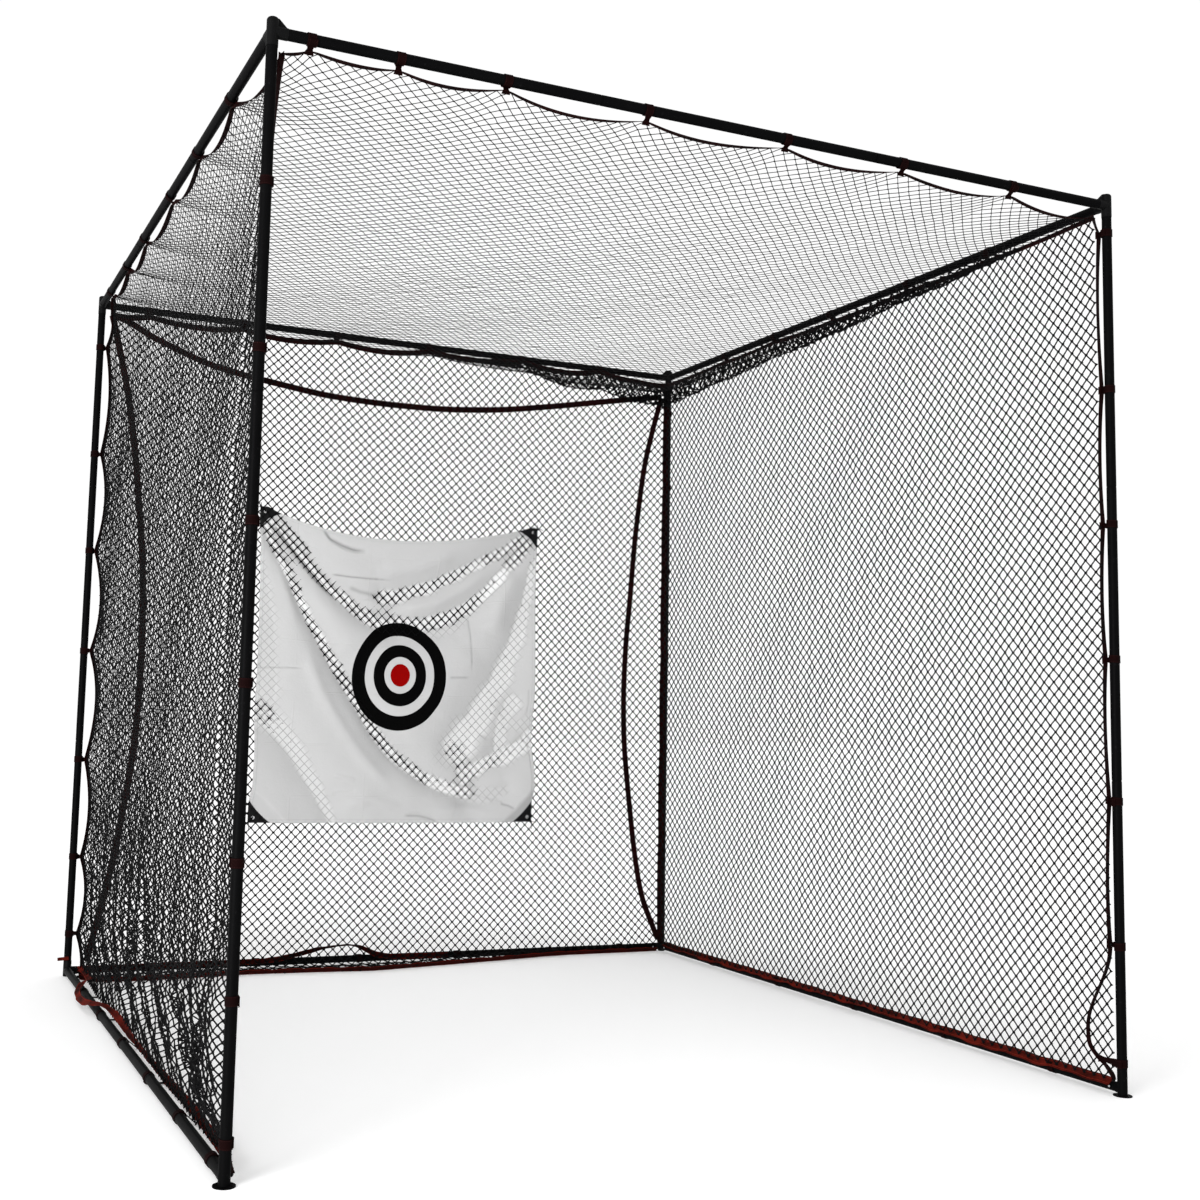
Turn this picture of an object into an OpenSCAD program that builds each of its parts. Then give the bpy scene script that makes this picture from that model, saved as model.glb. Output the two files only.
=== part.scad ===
// Golf hitting cage: a cube of steel tube with an open front, netting on four sides and a hanging target.
// X runs to the right, Y from the open front to the back, Z up. The origin is on the floor, midway
// between the four posts.

/* [Frame] */
// Distance between the centre lines of opposite posts, and between floor and top rails
cage = 3000; // [2400:100:3600]
// Outside diameter of the tubes
tube_od = 32; // [30:1:34]
// Wall of the tubes
tube_wall = 1.2; // [1:0.1:1.4]
// Height of the floor rails' centre line
rail_z = 24; // [22:1:30]
// Length of a swaged end inside the next section
plug_len = 60; // [40:5:80]
// Length of the necked step between two sections
neck_len = 6; // [4:1:10]

/* [Fittings] */
// Outside diameter of the corner fittings' arms
fitting_od = 34; // [33:0.5:36]
// Reach of a corner fitting's arm from its centre to the tube's end
arm_len = 42; // [38:1:60]
// Length of the spigot that goes into a tube
spigot_len = 60; // [56:1:80]
// Wall of the spigots
spigot_wall = 1.5; // [1.2:0.1:1.8]
// Rise of the domed cap above the top rails' centre line
cap_rise = 41; // [36:1:50]
// Reach of the gussets along the top rails
gusset_run = 40; // [34:1:42]
// Reach of a floor rail's stub collar from the front post's centre line
collar_len = 24; // [22:1:30]

/* [Feet] */
// Diameter of the front posts' foot plates
plate_d = 60; // [56:1:80]
// Thickness of the foot plates
plate_t = 3; // [2:0.5:5]
// Diameter of the circle that the peg holes lie on
peg_pcd = 46; // [45:1:50]
// Diameter of the peg holes
peg_d = 6.5; // [5:0.5:7]

/* [Spring buttons] */
// Diameter of a button's pin
button_d = 8; // [6:0.5:9]
// Height of the pin's tip above the tube's surface
button_rise = 3.5; // [2.5:0.5:4]
// Distance from the tube's end to the button
button_inset = 16; // [14:1:18]
// Clearance all round the pin in its holes
button_gap = 0.5; // [0.3:0.1:0.8]
// Width of the leaf spring
leaf_w = 8; // [6:1:9]
// Thickness of the leaf spring
leaf_t = 0.8; // [0.6:0.1:1]

/* [Net] */
// Width of the border tapes
tape_w = 30; // [24:1:36]
// Thickness of the nets and their border tapes
tape_t = 3; // [2:0.5:4]
// Spacing of the net's openings along both diagonals
mesh_pitch = 290; // [260:10:400]
// Width of the net's bars
mesh_bar = 9; // [6:1:14]
// Depth of the scallops between two straps along the top
top_scallop = 55; // [30:5:70]
// Depth of the scallops along the posts
post_scallop = 25; // [10:5:40]
// Depth of the scallops along the floor rails
floor_scallop = 8; // [4:1:12]
// Distance from the top rails' centre line down to the net's border
top_drop = 60; // [50:1:70]

/* [Straps] */
// Width of the hook-and-loop straps
strap_w = 25; // [20:1:30]
// Thickness of a strap
strap_t = 2.2; // [1.5:0.1:2.5]
// Clearance between a strap and its tube
strap_gap = 0.25; // [0.1:0.05:0.5]

/* [Target] */
// Width of the target sheet
target_w = 1450; // [1200:10:1600]
// Height of the target sheet
target_h = 1500; // [1200:10:1600]
// Height of the sheet's lower edge
target_z = 665; // [500:5:800]
// Thickness of the sheet
sheet_t = 3; // [2:0.5:4]
// Depth of the sheet's main folds
fold_depth = 26; // [10:1:30]
// Sag of the sheet's top edge
target_sag = 80; // [40:5:100]
// Leg of the triangular corner patches
patch_leg = 100; // [80:5:120]

/* [Hidden] */
$fn = 64;
half = cage / 2;
top_z = rail_z + cage;
tube_r = tube_od / 2;
bore_r = tube_r - tube_wall;
fit_gap = 0.3;
spigot_r = bore_r - fit_gap;
spigot_bore = spigot_r - spigot_wall;
arm_r = fitting_od / 2;
end_gap = 0.3;
edge_r = 10;
gusset_t = 8;
gusset_rise = 22;
foot_body_r = arm_r + 0.5;
peg_count = 4;

bore_in = 18;

// Run of three sections: the joints lie at the thirds of the cage
joint_a = cage / 3;
joint_b = 2 * cage / 3;
run_start = arm_len + end_gap;
run_end = cage - arm_len - end_gap;

// Spring buttons: the leaf's outer face is just clear of the spigot's bore at the leaf's edges
leaf_r = sqrt(pow(spigot_bore, 2) - pow(leaf_w / 2, 2)) - 0.06;
leaf_arm = 28;
leaf_tail = 6;
pin_r = button_d / 2;
pin_edge = 2.5;

// Planes of the nets, where a strap's tab lies flat on the border tape
tab_r = tube_r + strap_gap;
ring_r = tab_r + strap_t;
wall_plane = half - ring_r - tape_t / 2;
wall_inner = wall_plane - tape_t / 2;
wall_outer = wall_plane + tape_t / 2;
net_top = top_z - top_drop;
net_rise = 18;
net_bottom = rail_z + net_rise;
mid_z = (net_top + net_bottom) / 2;
post_inset = 34;
front_in = wall_inner - (half - post_inset);
full_bay = 420;
arc_rise_top = 235;
arc_rise_side = 185;
arc_run_out = 12;

// Straps: radial rise of the overlap, and the tabs' lengths, ending short of the tapes' inner edges
overlap_r = 2;
tab_short = 4;
post_tab = post_inset + tape_w - tab_short;
top_tab = top_drop + tape_w - tab_short;
floor_tab = net_rise + tape_w - tab_short;

// Target: clearance behind it, corner patches and grommets, and the sheet's grid
target_gap = 2;
target_plane = wall_inner - tape_t - target_gap;
patch_t = 2;
patch_lap = 14;
chamfer = patch_leg - patch_lap;
eye_in = 24;
eye_r = 8;
eye_flange = 4;
eye_wall = 1.5;
cols = 22;
rows = 22;
size_k = cage / 3000;

// Straps, as distances from the left end or the front, or down from the top rails
front_top_straps = [110, 370, 700, 1165, 1665, 2115, 2575];
back_top_straps = [215, 665, 1130, 1610, 2125, 2575];
left_top_straps = [480, 950, 1400, 1930, 2325, 2745];
right_top_straps = [575, 1047, 1570, 2005, 2435];
left_post_straps = [420, 877, 1340, 1765, 2225, 2570, 2920];
right_post_straps = [100, 655, 1125, 1587, 2065, 2542, 2920];
back_left_straps = [200, 697, 1140, 1594, 2077, 2505, 2840];
back_right_straps = [200, 600, 1050, 1500, 1980, 2430, 2840];
left_floor_straps = [140, 560, 1036, 1530, 2020, 2474];
right_floor_straps = [300, 850, 1400, 1950, 2500];
back_floor_straps = [350, 850, 1350, 1850, 2350, 2750];

// ---- Tubes -------------------------------------------------------------------------------------------

// A tube along +Z with plain ends
module plain_tube(len) {
    rotate_extrude()
        translate([bore_r, 0])
            square([tube_wall, len]);
}

// A tube along +Z whose far end is necked down and pushed into the next section
module swaged_tube(len) {
    plug_r = bore_r - fit_gap;
    rotate_extrude()
        polygon([
            [bore_r, 0],
            [tube_r, 0],
            [tube_r, len],
            [plug_r, len + neck_len],
            [plug_r, len + neck_len + plug_len],
            [plug_r - tube_wall, len + neck_len + plug_len],
            [plug_r - tube_wall, len + neck_len],
            [bore_r, len]
        ]);
}

// One of the three sections of a run along +Z, measured from the floor rail's or left post's centre line
module run_section(part, from, to) {
    if (part == 0)
        translate([0, 0, from])
            swaged_tube(joint_a - from);
    if (part == 1)
        translate([0, 0, joint_a + neck_len])
            swaged_tube(joint_b - joint_a - neck_len);
    if (part == 2)
        translate([0, 0, joint_b + neck_len])
            plain_tube(to - joint_b - neck_len);
}

// A section of a run with the holes for the spring buttons in its end pieces
module drilled_section(part, from, to, hole_from, hole_to, side) {
    difference() {
        run_section(part, from, to);
        if (hole_from && part == 0)
            translate([0, 0, from + button_inset])
                button_hole(side);
        if (hole_to && part == 2)
            translate([0, 0, to - button_inset])
                button_hole(side);
    }
}

// The hole through one wall, towards +X or -X
module button_hole(side) {
    rotate([0, side * 90, 0])
        translate([0, 0, bore_r - 6])
            cylinder(d = button_d + 2 * button_gap, h = 12);
}

module post_at(x, y) {
    translate([x * half, y * half, rail_z])
        children();
}

// Turns a run along +Z into one along +X, its own +X side facing down
module along_x(y, z) {
    translate([-half, y, z])
        rotate([0, 90, 0])
            children();
}

// Turns a run along +Z into one along +Y, its own +X side kept
module along_y(x, z) {
    translate([x, -half, z])
        rotate([-90, 0, 0])
            children();
}

module top_rail_x(y, part) {
    color("#1b1b1d")
        along_x(y * half, top_z)
            run_section(part, run_start, run_end);
}

module top_rail_y(x, part) {
    color("#1b1b1d")
        along_y(x * half, top_z)
            run_section(part, run_start, run_end);
}

module side_floor_rail(x, part) {
    color("#1b1b1d")
        along_y(x * half, rail_z)
            drilled_section(part, collar_len + end_gap, run_end, true, true, -x);
}

module back_floor_rail(part) {
    color("#1b1b1d")
        along_x(half, rail_z)
            rotate([0, 0, 90])
                drilled_section(part, run_start, run_end, true, true, -1);
}

module back_post(x, part) {
    color("#1b1b1d")
        post_at(x, 1)
            run_section(part, run_start, run_end);
}

module front_post(x, part) {
    color("#1b1b1d") {
        if (part == 0)
            front_lower_post(x);
        if (part > 0)
            post_at(x, -1)
                run_section(part, 0, run_end);
    }
}

// ---- Fittings ----------------------------------------------------------------------------------------

// A hollow spigot along +Z from z0 on
module spigot(z0) {
    translate([0, 0, z0])
        difference() {
            cylinder(r = spigot_r, h = spigot_len);
            translate([0, 0, -1])
                cylinder(r = spigot_bore, h = spigot_len + 2);
        }
}

// The arm of a fitting along +Z with its spigot, open inside
module arm(body_r, body_len) {
    cylinder(r = body_r, h = body_len);
    spigot(body_len);
}

// The space inside an arm
module arm_bore(body_len) {
    translate([0, 0, body_len - bore_in])
        cylinder(r = spigot_bore, h = bore_in + spigot_len + 2);
}

// A cylinder along +Z from z0 to z1 with a rounded top edge
module domed_body(r, z0, z1) {
    rotate_extrude()
        union() {
            translate([0, z0])
                square([r - edge_r, z1 - z0]);
            translate([0, z0])
                square([r, z1 - edge_r - z0]);
            translate([r - edge_r, z1 - edge_r])
                intersection() {
                    circle(r = edge_r);
                    square([edge_r, edge_r]);
                }
        }
}

// The web between the cap and an arm along +X
module gusset() {
    translate([0, gusset_t / 2, 0])
        rotate([90, 0, 0])
            linear_extrude(height = gusset_t)
                polygon([
                    [0, 0],
                    [gusset_run, 0],
                    [gusset_run, arm_r],
                    [arm_r, arm_r + gusset_rise],
                    [0, arm_r + gusset_rise]
                ]);
}

// A top corner, with arms along +X, +Y and down
module corner_body() {
    difference() {
        union() {
            domed_body(arm_r, -arm_len, cap_rise);
            rotate([180, 0, 0])
                spigot(arm_len);
            rotate([0, 90, 0])
                arm(arm_r, arm_len);
            rotate([-90, 0, 0])
                arm(arm_r, arm_len);
            gusset();
            rotate([0, 0, 90])
                gusset();
        }
        rotate([180, 0, 0])
            arm_bore(arm_len);
        rotate([0, 90, 0])
            arm_bore(arm_len);
        rotate([-90, 0, 0])
            arm_bore(arm_len);
    }
}

// Turns a corner whose arms run along +X and +Y to face into the cage at (x, y)
module facing_in(x, y) {
    turn = x < 0 ? (y < 0 ? 0 : -90) : (y < 0 ? 90 : 180);
    rotate([0, 0, turn])
        children();
}

module corner_fitting(x, y) {
    color("#202022")
        translate([x * half, y * half, top_z])
            facing_in(x, y)
                corner_body();
}

// A back foot, with arms along +X, +Y and up, flat underneath
module back_foot_body() {
    difference() {
        union() {
            translate([0, 0, -rail_z])
                cylinder(r = foot_body_r, h = rail_z + arm_len);
            spigot(arm_len);
            rotate([0, 90, 0])
                arm(arm_r, arm_len);
            rotate([-90, 0, 0])
                arm(arm_r, arm_len);
        }
        arm_bore(arm_len);
        rotate([0, 90, 0])
            arm_bore(arm_len);
        rotate([-90, 0, 0])
            arm_bore(arm_len);
    }
}

// Holes through the inner side of both spigots; the arms' outer sides face away from the cage
module back_foot_holes(x) {
    translate([-x * (arm_len + button_inset), 0, 0])
        rotate([90, 0, 0])
            cylinder(d = button_d + 2 * button_gap, h = tube_r);
    translate([0, -arm_len - button_inset, 0])
        rotate([0, -x * 90, 0])
            cylinder(d = button_d + 2 * button_gap, h = tube_r);
}

module back_foot_fitting(x) {
    color("#202022")
        translate([x * half, half, rail_z])
            difference() {
                facing_in(x, 1)
                    back_foot_body();
                back_foot_holes(x);
            }
}

// The front lower post: tube, foot plate with peg holes and stub for the floor rail, welded together
module front_lower_post(x) {
    translate([x * half, -half, 0])
        difference() {
            union() {
                translate([0, 0, rail_z])
                    run_section(0, plate_t - rail_z, 0);
                cylinder(d = plate_d, h = plate_t);
                translate([0, 0, rail_z])
                    rotate([-90, 0, 0])
                        difference() {
                            arm(arm_r, collar_len);
                            rotate([90, 0, 0])
                                cylinder(r = bore_r + tube_wall / 2, h = 3 * tube_od, center = true);
                        }
            }
            translate([0, 0, rail_z])
                rotate([-90, 0, 0])
                    translate([0, 0, 5])
                        cylinder(r = spigot_bore, h = collar_len + spigot_len);
            translate([0, collar_len + button_inset, rail_z])
                rotate([0, -x * 90, 0])
                    cylinder(d = button_d + 2 * button_gap, h = tube_r);
            peg_holes();
        }
}

module peg_holes() {
    for (i = [0 : peg_count - 1])
        rotate([0, 0, 45 + i * 360 / peg_count])
            translate([peg_pcd / 2, 0, -1])
                cylinder(d = peg_d, h = plate_t + 2);
}

// ---- Spring buttons ----------------------------------------------------------------------------------

// A button with its leaf: the pin points to +X and the leaf runs along +Z
module button_body() {
    rotate([0, 90, 0])
        rotate_extrude()
            union() {
                translate([0, leaf_r - leaf_t / 2])
                    square([pin_r, tube_r + button_rise - pin_edge - leaf_r + leaf_t / 2]);
                translate([0, tube_r])
                    square([pin_r - pin_edge, button_rise]);
                translate([pin_r - pin_edge, tube_r + button_rise - pin_edge])
                    intersection() {
                        circle(r = pin_edge);
                        translate([pin_edge - pin_r, -pin_edge])
                            square([pin_r, 2 * pin_edge]);
                    }
            }
    translate([leaf_r - leaf_t, -leaf_w / 2, -leaf_tail])
        cube([leaf_t, leaf_w, leaf_arm + leaf_tail]);
}

// The rest of the spring: its bend and the arm on the tube's far side
module spring_body() {
    translate([0, 0, leaf_arm + end_gap])
        intersection() {
            rotate([90, 0, 0])
                translate([0, 0, -leaf_w / 2])
                    difference() {
                        cylinder(r = leaf_r, h = leaf_w);
                        translate([0, 0, -1])
                            cylinder(r = leaf_r - leaf_t, h = leaf_w + 2);
                    }
            translate([-2 * leaf_r, -leaf_w, 0])
                cube([4 * leaf_r, 2 * leaf_w, 2 * leaf_r]);
        }
    translate([-leaf_r, -leaf_w / 2, -leaf_tail])
        cube([leaf_t, leaf_w, leaf_arm + end_gap + leaf_tail]);
}

// At a side floor rail's front end
module at_front_button(x) {
    translate([x * half, -half + collar_len + end_gap + button_inset, rail_z])
        rotate([-90, 0, 0])
            rotate([0, 0, x > 0 ? 180 : 0])
                children();
}

// At a side floor rail's back end, the spring running towards the front
module at_back_button(x) {
    translate([x * half, half - run_start - button_inset, rail_z])
        rotate([90, 0, 0])
            rotate([0, 0, x > 0 ? 180 : 0])
                children();
}

// At an end of the back floor rail, the pin pointing to the front
module at_rear_button(x) {
    translate([x * (half - run_start - button_inset), half, rail_z])
        rotate([0, -x * 90, 0])
            rotate([0, 0, -90])
                children();
}

module snap_button(place, x) {
    color("#c9ccd0") {
        if (place == "front")
            at_front_button(x)
                button_body();
        if (place == "back")
            at_back_button(x)
                button_body();
        if (place == "rear")
            at_rear_button(x)
                button_body();
    }
}

module button_leaf_springs() {
    color("#8d9196")
        for (x = [-1, 1]) {
            at_front_button(x)
                spring_body();
            at_back_button(x)
                spring_body();
            at_rear_button(x)
                spring_body();
        }
}

// ---- Nets --------------------------------------------------------------------------------------------

// Points of one bay between two cusps a and b, bowed by depth along the unit vector inward; a bay
// shorter than full_bay bows less
function bay(a, b, inward, depth, steps = 6) =
    let (bow = depth * min(1, pow(norm(b - a) / full_bay, 2)))
    [for (i = [0 : steps - 1])
        let (t = i / steps)
            a + (b - a) * t + inward * bow * 4 * t * (1 - t)];

// One side of a panel, from its first cusp up to but without its last one
function side(cusps, inward, depth) =
    [for (i = [0 : len(cusps) - 2])
        each bay(cusps[i], cusps[i + 1], inward, depth)];

function reversed(list) = [for (i = [len(list) - 1 : -1 : 0]) list[i]];

// Outline of a wall, in its own plane: u across, v up. The lists give the straps along its four edges,
// u0 and u1 its straight edges at the corners, in_0 and in_1 how far the cusps stand inside them.
function wall_outline(u0, u1, in_0, in_1, top, low, start, end, depth_0, depth_1, inset) =
    let (
        a = [u0 + inset, net_top - inset],
        b = [u1 - inset, net_top - inset],
        c = [u1 - inset, net_bottom + inset],
        d = [u0 + inset, net_bottom + inset],
        top_cusps = concat([a], [for (s = top) [-half + s * size_k, net_top - inset]], [b]),
        end_cusps = concat([b], [for (s = end) if (s * size_k > top_drop + 2 * tape_w)
            [u1 - in_1 - inset, top_z - s * size_k]], [c]),
        low_cusps = concat([c], [for (s = reversed(low)) [-half + s * size_k, net_bottom + inset]], [d]),
        start_cusps = concat([d], [for (s = reversed(start)) if (s * size_k > top_drop + 2 * tape_w)
            [u0 + in_0 + inset, top_z - s * size_k]], [a])
    )
    concat(
        side(top_cusps, [0, -1], top_scallop),
        side(end_cusps, [-1, 0], depth_1),
        side(low_cusps, [0, 1], floor_scallop),
        side(start_cusps, [1, 0], depth_0)
    );

function left_outline(inset) =
    wall_outline(-wall_inner, wall_inner, front_in, 0, left_top_straps, left_floor_straps,
        left_post_straps, back_left_straps, post_scallop, post_scallop, inset);

function right_outline(inset) =
    wall_outline(-wall_inner, wall_inner, front_in, 0, right_top_straps, right_floor_straps,
        right_post_straps, back_right_straps, post_scallop, post_scallop, inset);

function back_outline(inset) =
    wall_outline(-wall_outer, wall_outer, 0, 0, back_top_straps, back_floor_straps,
        back_left_straps, back_right_straps, post_scallop, post_scallop, inset);

// Outline of the top net, seen from above
function top_outline(inset = 0) =
    let (
        w = wall_inner - inset,
        front = concat([[-w, -w]], [for (s = front_top_straps) [-half + s * size_k, -w]], [[w, -w]]),
        right = concat([[w, -w]], [for (s = right_top_straps) [w, -half + s * size_k]], [[w, w]]),
        back = concat([[w, w]], [for (s = reversed(back_top_straps)) [-half + s * size_k, w]], [[-w, w]]),
        left = concat([[-w, w]], [for (s = reversed(left_top_straps)) [-w, -half + s * size_k]], [[-w, -w]])
    )
    concat(
        side(front, [0, 1], top_scallop),
        side(right, [-1, 0], top_scallop),
        side(back, [0, -1], top_scallop),
        side(left, [1, 0], top_scallop)
    );

// The diamond openings of a net over the square from -half to half, middle at the height mid
module mesh_gaps(mid) {
    cells = ceil(cage / mesh_pitch);
    gap = mesh_pitch / 2 - mesh_bar / sqrt(2);
    for (i = [-cells : cells], j = [-cells : cells])
        if ((i + j) % 2 == 0 && abs(i) * mesh_pitch / 2 < half && abs(j) * mesh_pitch / 2 < half)
            translate([i * mesh_pitch / 2, mid + j * mesh_pitch / 2])
                circle(r = gap, $fn = 4);
}

// A flat net with an outline, open inside a border of the same width as a mesh bar
module netting(points, rim_points, mid) {
    linear_extrude(height = tape_t, center = true)
        difference() {
            polygon(points);
            intersection() {
                polygon(rim_points);
                mesh_gaps(mid);
            }
        }
}

// A tape ring between two outlines
module tape_ring(outer, inner) {
    linear_extrude(height = tape_t, center = true)
        difference() {
            polygon(outer);
            polygon(inner);
        }
}

// Stands a drawing in the u, v plane up in the plane x, with u along +Y
module in_side_plane(x) {
    translate([x, 0, 0])
        rotate([90, 0, 90])
            children();
}

// Stands a drawing in the u, v plane up in the plane y, with u along +X
module in_back_plane(y) {
    translate([0, y, 0])
        rotate([90, 0, 0])
            children();
}

module top_net() {
    color("#2a2a2c")
        translate([0, 0, net_top - tape_w / 2])
            netting(top_outline(), top_outline(mesh_bar), 0);
}

module left_net() {
    color("#2a2a2c")
        in_side_plane(-wall_plane)
            netting(left_outline(tape_w), left_outline(tape_w + mesh_bar), mid_z);
}

module right_net() {
    color("#2a2a2c")
        in_side_plane(wall_plane)
            netting(right_outline(tape_w), right_outline(tape_w + mesh_bar), mid_z);
}

module back_net() {
    color("#2a2a2c")
        in_back_plane(wall_plane)
            netting(back_outline(tape_w), back_outline(tape_w + mesh_bar), mid_z);
}

module left_border_tape() {
    color("#5a1512")
        in_side_plane(-wall_plane)
            tape_ring(left_outline(0), left_outline(tape_w));
}

module right_border_tape() {
    color("#5a1512")
        in_side_plane(wall_plane)
            tape_ring(right_outline(0), right_outline(tape_w));
}

module back_border_tape() {
    color("#5a1512")
        in_back_plane(wall_plane)
            tape_ring(back_outline(0), back_outline(tape_w));
}

// The free front edge of the top net
module front_edge_tape() {
    w = wall_inner;
    cusps = concat(
        [[-w, net_top]],
        [for (s = front_top_straps) [-half + s * size_k, net_top]],
        [[w, net_top]]
    );
    upper = concat(side(cusps, [0, -1], top_scallop), [[w, net_top]]);
    lower = [for (p = upper) p - [0, tape_w]];
    color("#5a1512")
        in_back_plane(-wall_plane)
            linear_extrude(height = tape_t, center = true)
                polygon(concat(upper, reversed(lower)));
}

// Points of an arc from a to b that bows by rise along inward, moved sideways by off
function arc_points(a, b, inward, rise, off, steps = 16) =
    [for (i = [0 : steps])
        let (t = i / steps)
            a + (b - a) * t + inward * (rise * 4 * t * (1 - t) + off)];

// A tape along such an arc
module arc_tape(a, b, inward, rise) {
    polygon(concat(
        arc_points(a, b, inward, rise, -tape_w / 2),
        reversed(arc_points(a, b, inward, rise, tape_w / 2))
    ));
}

module back_arc_tapes() {
    u = wall_inner - tape_w;
    high = net_top - 1.5 * tape_w;
    low = net_bottom + 1.5 * tape_w;
    color("#4a1210")
        in_back_plane(wall_inner - tape_t / 2)
            linear_extrude(height = tape_t, center = true)
                union() {
                    arc_tape([-u - arc_run_out, high], [u + arc_run_out, high], [0, -1], arc_rise_top);
                    arc_tape([-u, low], [-u, high], [1, 0], arc_rise_side);
                    arc_tape([u, low], [u, high], [-1, 0], arc_rise_side);
                }
}

// ---- Straps ------------------------------------------------------------------------------------------

// A strap round a tube along Z, its tab on the +X side running to +Y, its overlap on the far side
module strap(tab_len) {
    linear_extrude(height = strap_w, center = true)
        union() {
            difference() {
                union() {
                    circle(r = ring_r);
                    intersection() {
                        circle(r = ring_r + overlap_r);
                        polygon([[0, 0], [-60, -46], [-60, 30]]);
                    }
                }
                circle(r = tab_r);
            }
            translate([tab_r, 0])
                square([strap_t, tab_len]);
        }
}

// Straps on a front post: the tab runs along the side net's outer face
module front_post_straps(x, list) {
    for (s = list)
        translate([x * half, -half, top_z - s * size_k])
            mirror([x > 0 ? 1 : 0, 0, 0])
                strap(post_tab);
}

// Straps on a back post: the tab runs along the back net's outer face
module back_post_straps(x, list) {
    for (s = list)
        translate([x * half, half, top_z - s * size_k])
            mirror([x > 0 ? 1 : 0, 0, 0])
                mirror([0, 1, 0])
                    rotate([0, 0, 90])
                        mirror([0, 1, 0])
                            strap(post_tab);
}

// Straps on a rail along Y: the tab hangs down on the cage's side, or stands up on a floor rail
module side_rail_straps(x, z, list, down, tab_len) {
    for (s = list)
        translate([x * half, -half + s * size_k, z])
            mirror([x > 0 ? 1 : 0, 0, 0])
                mirror([0, 0, down ? 1 : 0])
                    rotate([90, 0, 0])
                        strap(tab_len);
}

// Straps on a rail along X, the same way
module cross_rail_straps(y, z, list, down, tab_len) {
    for (s = list)
        translate([-half + s * size_k, y * half, z])
            mirror([0, y > 0 ? 1 : 0, 0])
                mirror([0, 0, down ? 1 : 0])
                    rotate([90, 0, 90])
                        strap(tab_len);
}

module hook_and_loop_straps() {
    color("#30100f") {
        front_post_straps(-1, left_post_straps);
        front_post_straps(1, right_post_straps);
        back_post_straps(-1, back_left_straps);
        back_post_straps(1, back_right_straps);
        side_rail_straps(-1, top_z, left_top_straps, true, top_tab);
        side_rail_straps(1, top_z, right_top_straps, true, top_tab);
        cross_rail_straps(-1, top_z, front_top_straps, true, top_tab);
        cross_rail_straps(1, top_z, back_top_straps, true, top_tab);
        side_rail_straps(-1, rail_z, left_floor_straps, false, floor_tab);
        side_rail_straps(1, rail_z, right_floor_straps, false, floor_tab);
        cross_rail_straps(1, rail_z, back_floor_straps, false, floor_tab);
    }
}

// ---- Target ------------------------------------------------------------------------------------------

// Height of the sheet's top edge below its corners, from u = -1 to 1
function sag(u) = target_sag * (1 - u * u) * (1 - 0.15 * u * u);

// How far the sheet stands forward of its plane at u across and v up, both 0 to 1
function fold(u, v) =
    let (
        edge = max(0, min(1, 5 * (min(u, 1 - u) + min(v, 1 - v) - 0.14))),
        left = atan2(1 - v, u),
        right = atan2(1 - v, 1 - u),
        reach_l = 1 / (1 + 2.2 * (u * u + (1 - v) * (1 - v))),
        reach_r = 1 / (1 + 2.2 * ((1 - u) * (1 - u) + (1 - v) * (1 - v)))
    )
    fold_depth * edge * (
        0.55 * exp(-pow((left - 58) / 7, 2)) +
        0.30 * reach_l * pow(sin(left * 5 + 20), 2) +
        0.30 * reach_r * pow(sin(right * 6 + 40), 2)
    );

// A point of the sheet; its corners are cut off along the patches
function sheet_point(i, j, back) =
    let (
        u = i / cols,
        v = j / rows,
        cut = chamfer / 2,
        near = max(0, 1 - (min(u, 1 - u) + min(v, 1 - v)) * cols * 0.85),
        x = (u - 0.5) * target_w,
        z = v * (target_h - sag(2 * u - 1) * pow(v, 3)),
        px = x - sign(u - 0.5) * cut * near,
        pz = target_z + z + (v > 0.5 ? -1 : 1) * cut * near
    )
    [px, target_plane - fold(u, v) - (back ? 0 : sheet_t), pz];

module target_sheet() {
    n = (cols + 1) * (rows + 1);
    points = [for (b = [0, 1], j = [0 : rows], i = [0 : cols]) sheet_point(i, j, b == 1)];
    at = function (b, i, j) b * n + j * (cols + 1) + i;
    faces = concat(
        [for (j = [0 : rows - 1], i = [0 : cols - 1])
            each [[at(0, i, j), at(0, i, j + 1), at(0, i + 1, j + 1)],
                [at(0, i, j), at(0, i + 1, j + 1), at(0, i + 1, j)]]],
        [for (j = [0 : rows - 1], i = [0 : cols - 1])
            each [[at(1, i, j), at(1, i + 1, j + 1), at(1, i, j + 1)],
                [at(1, i, j), at(1, i + 1, j), at(1, i + 1, j + 1)]]],
        [for (i = [0 : cols - 1])
            each [[at(0, i, 0), at(0, i + 1, 0), at(1, i + 1, 0)],
                [at(0, i, 0), at(1, i + 1, 0), at(1, i, 0)]]],
        [for (i = [0 : cols - 1])
            each [[at(0, i, rows), at(1, i + 1, rows), at(0, i + 1, rows)],
                [at(0, i, rows), at(1, i, rows), at(1, i + 1, rows)]]],
        [for (j = [0 : rows - 1])
            each [[at(0, 0, j), at(1, 0, j), at(1, 0, j + 1)],
                [at(0, 0, j), at(1, 0, j + 1), at(0, 0, j + 1)]]],
        [for (j = [0 : rows - 1])
            each [[at(0, cols, j), at(1, cols, j + 1), at(1, cols, j)],
                [at(0, cols, j), at(0, cols, j + 1), at(1, cols, j + 1)]]]
    );
    color("#e9e9e6")
        polyhedron(points = points, faces = faces, convexity = 6);
}

// Places children at each corner of the target, with +X and +Z pointing to its middle
module at_target_corners() {
    for (x = [-1, 1], z = [0, 1])
        translate([x * target_w / 2, target_plane - sheet_t, target_z + z * target_h])
            mirror([x > 0 ? 1 : 0, 0, 0])
                mirror([0, 0, z])
                    children();
}

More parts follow.
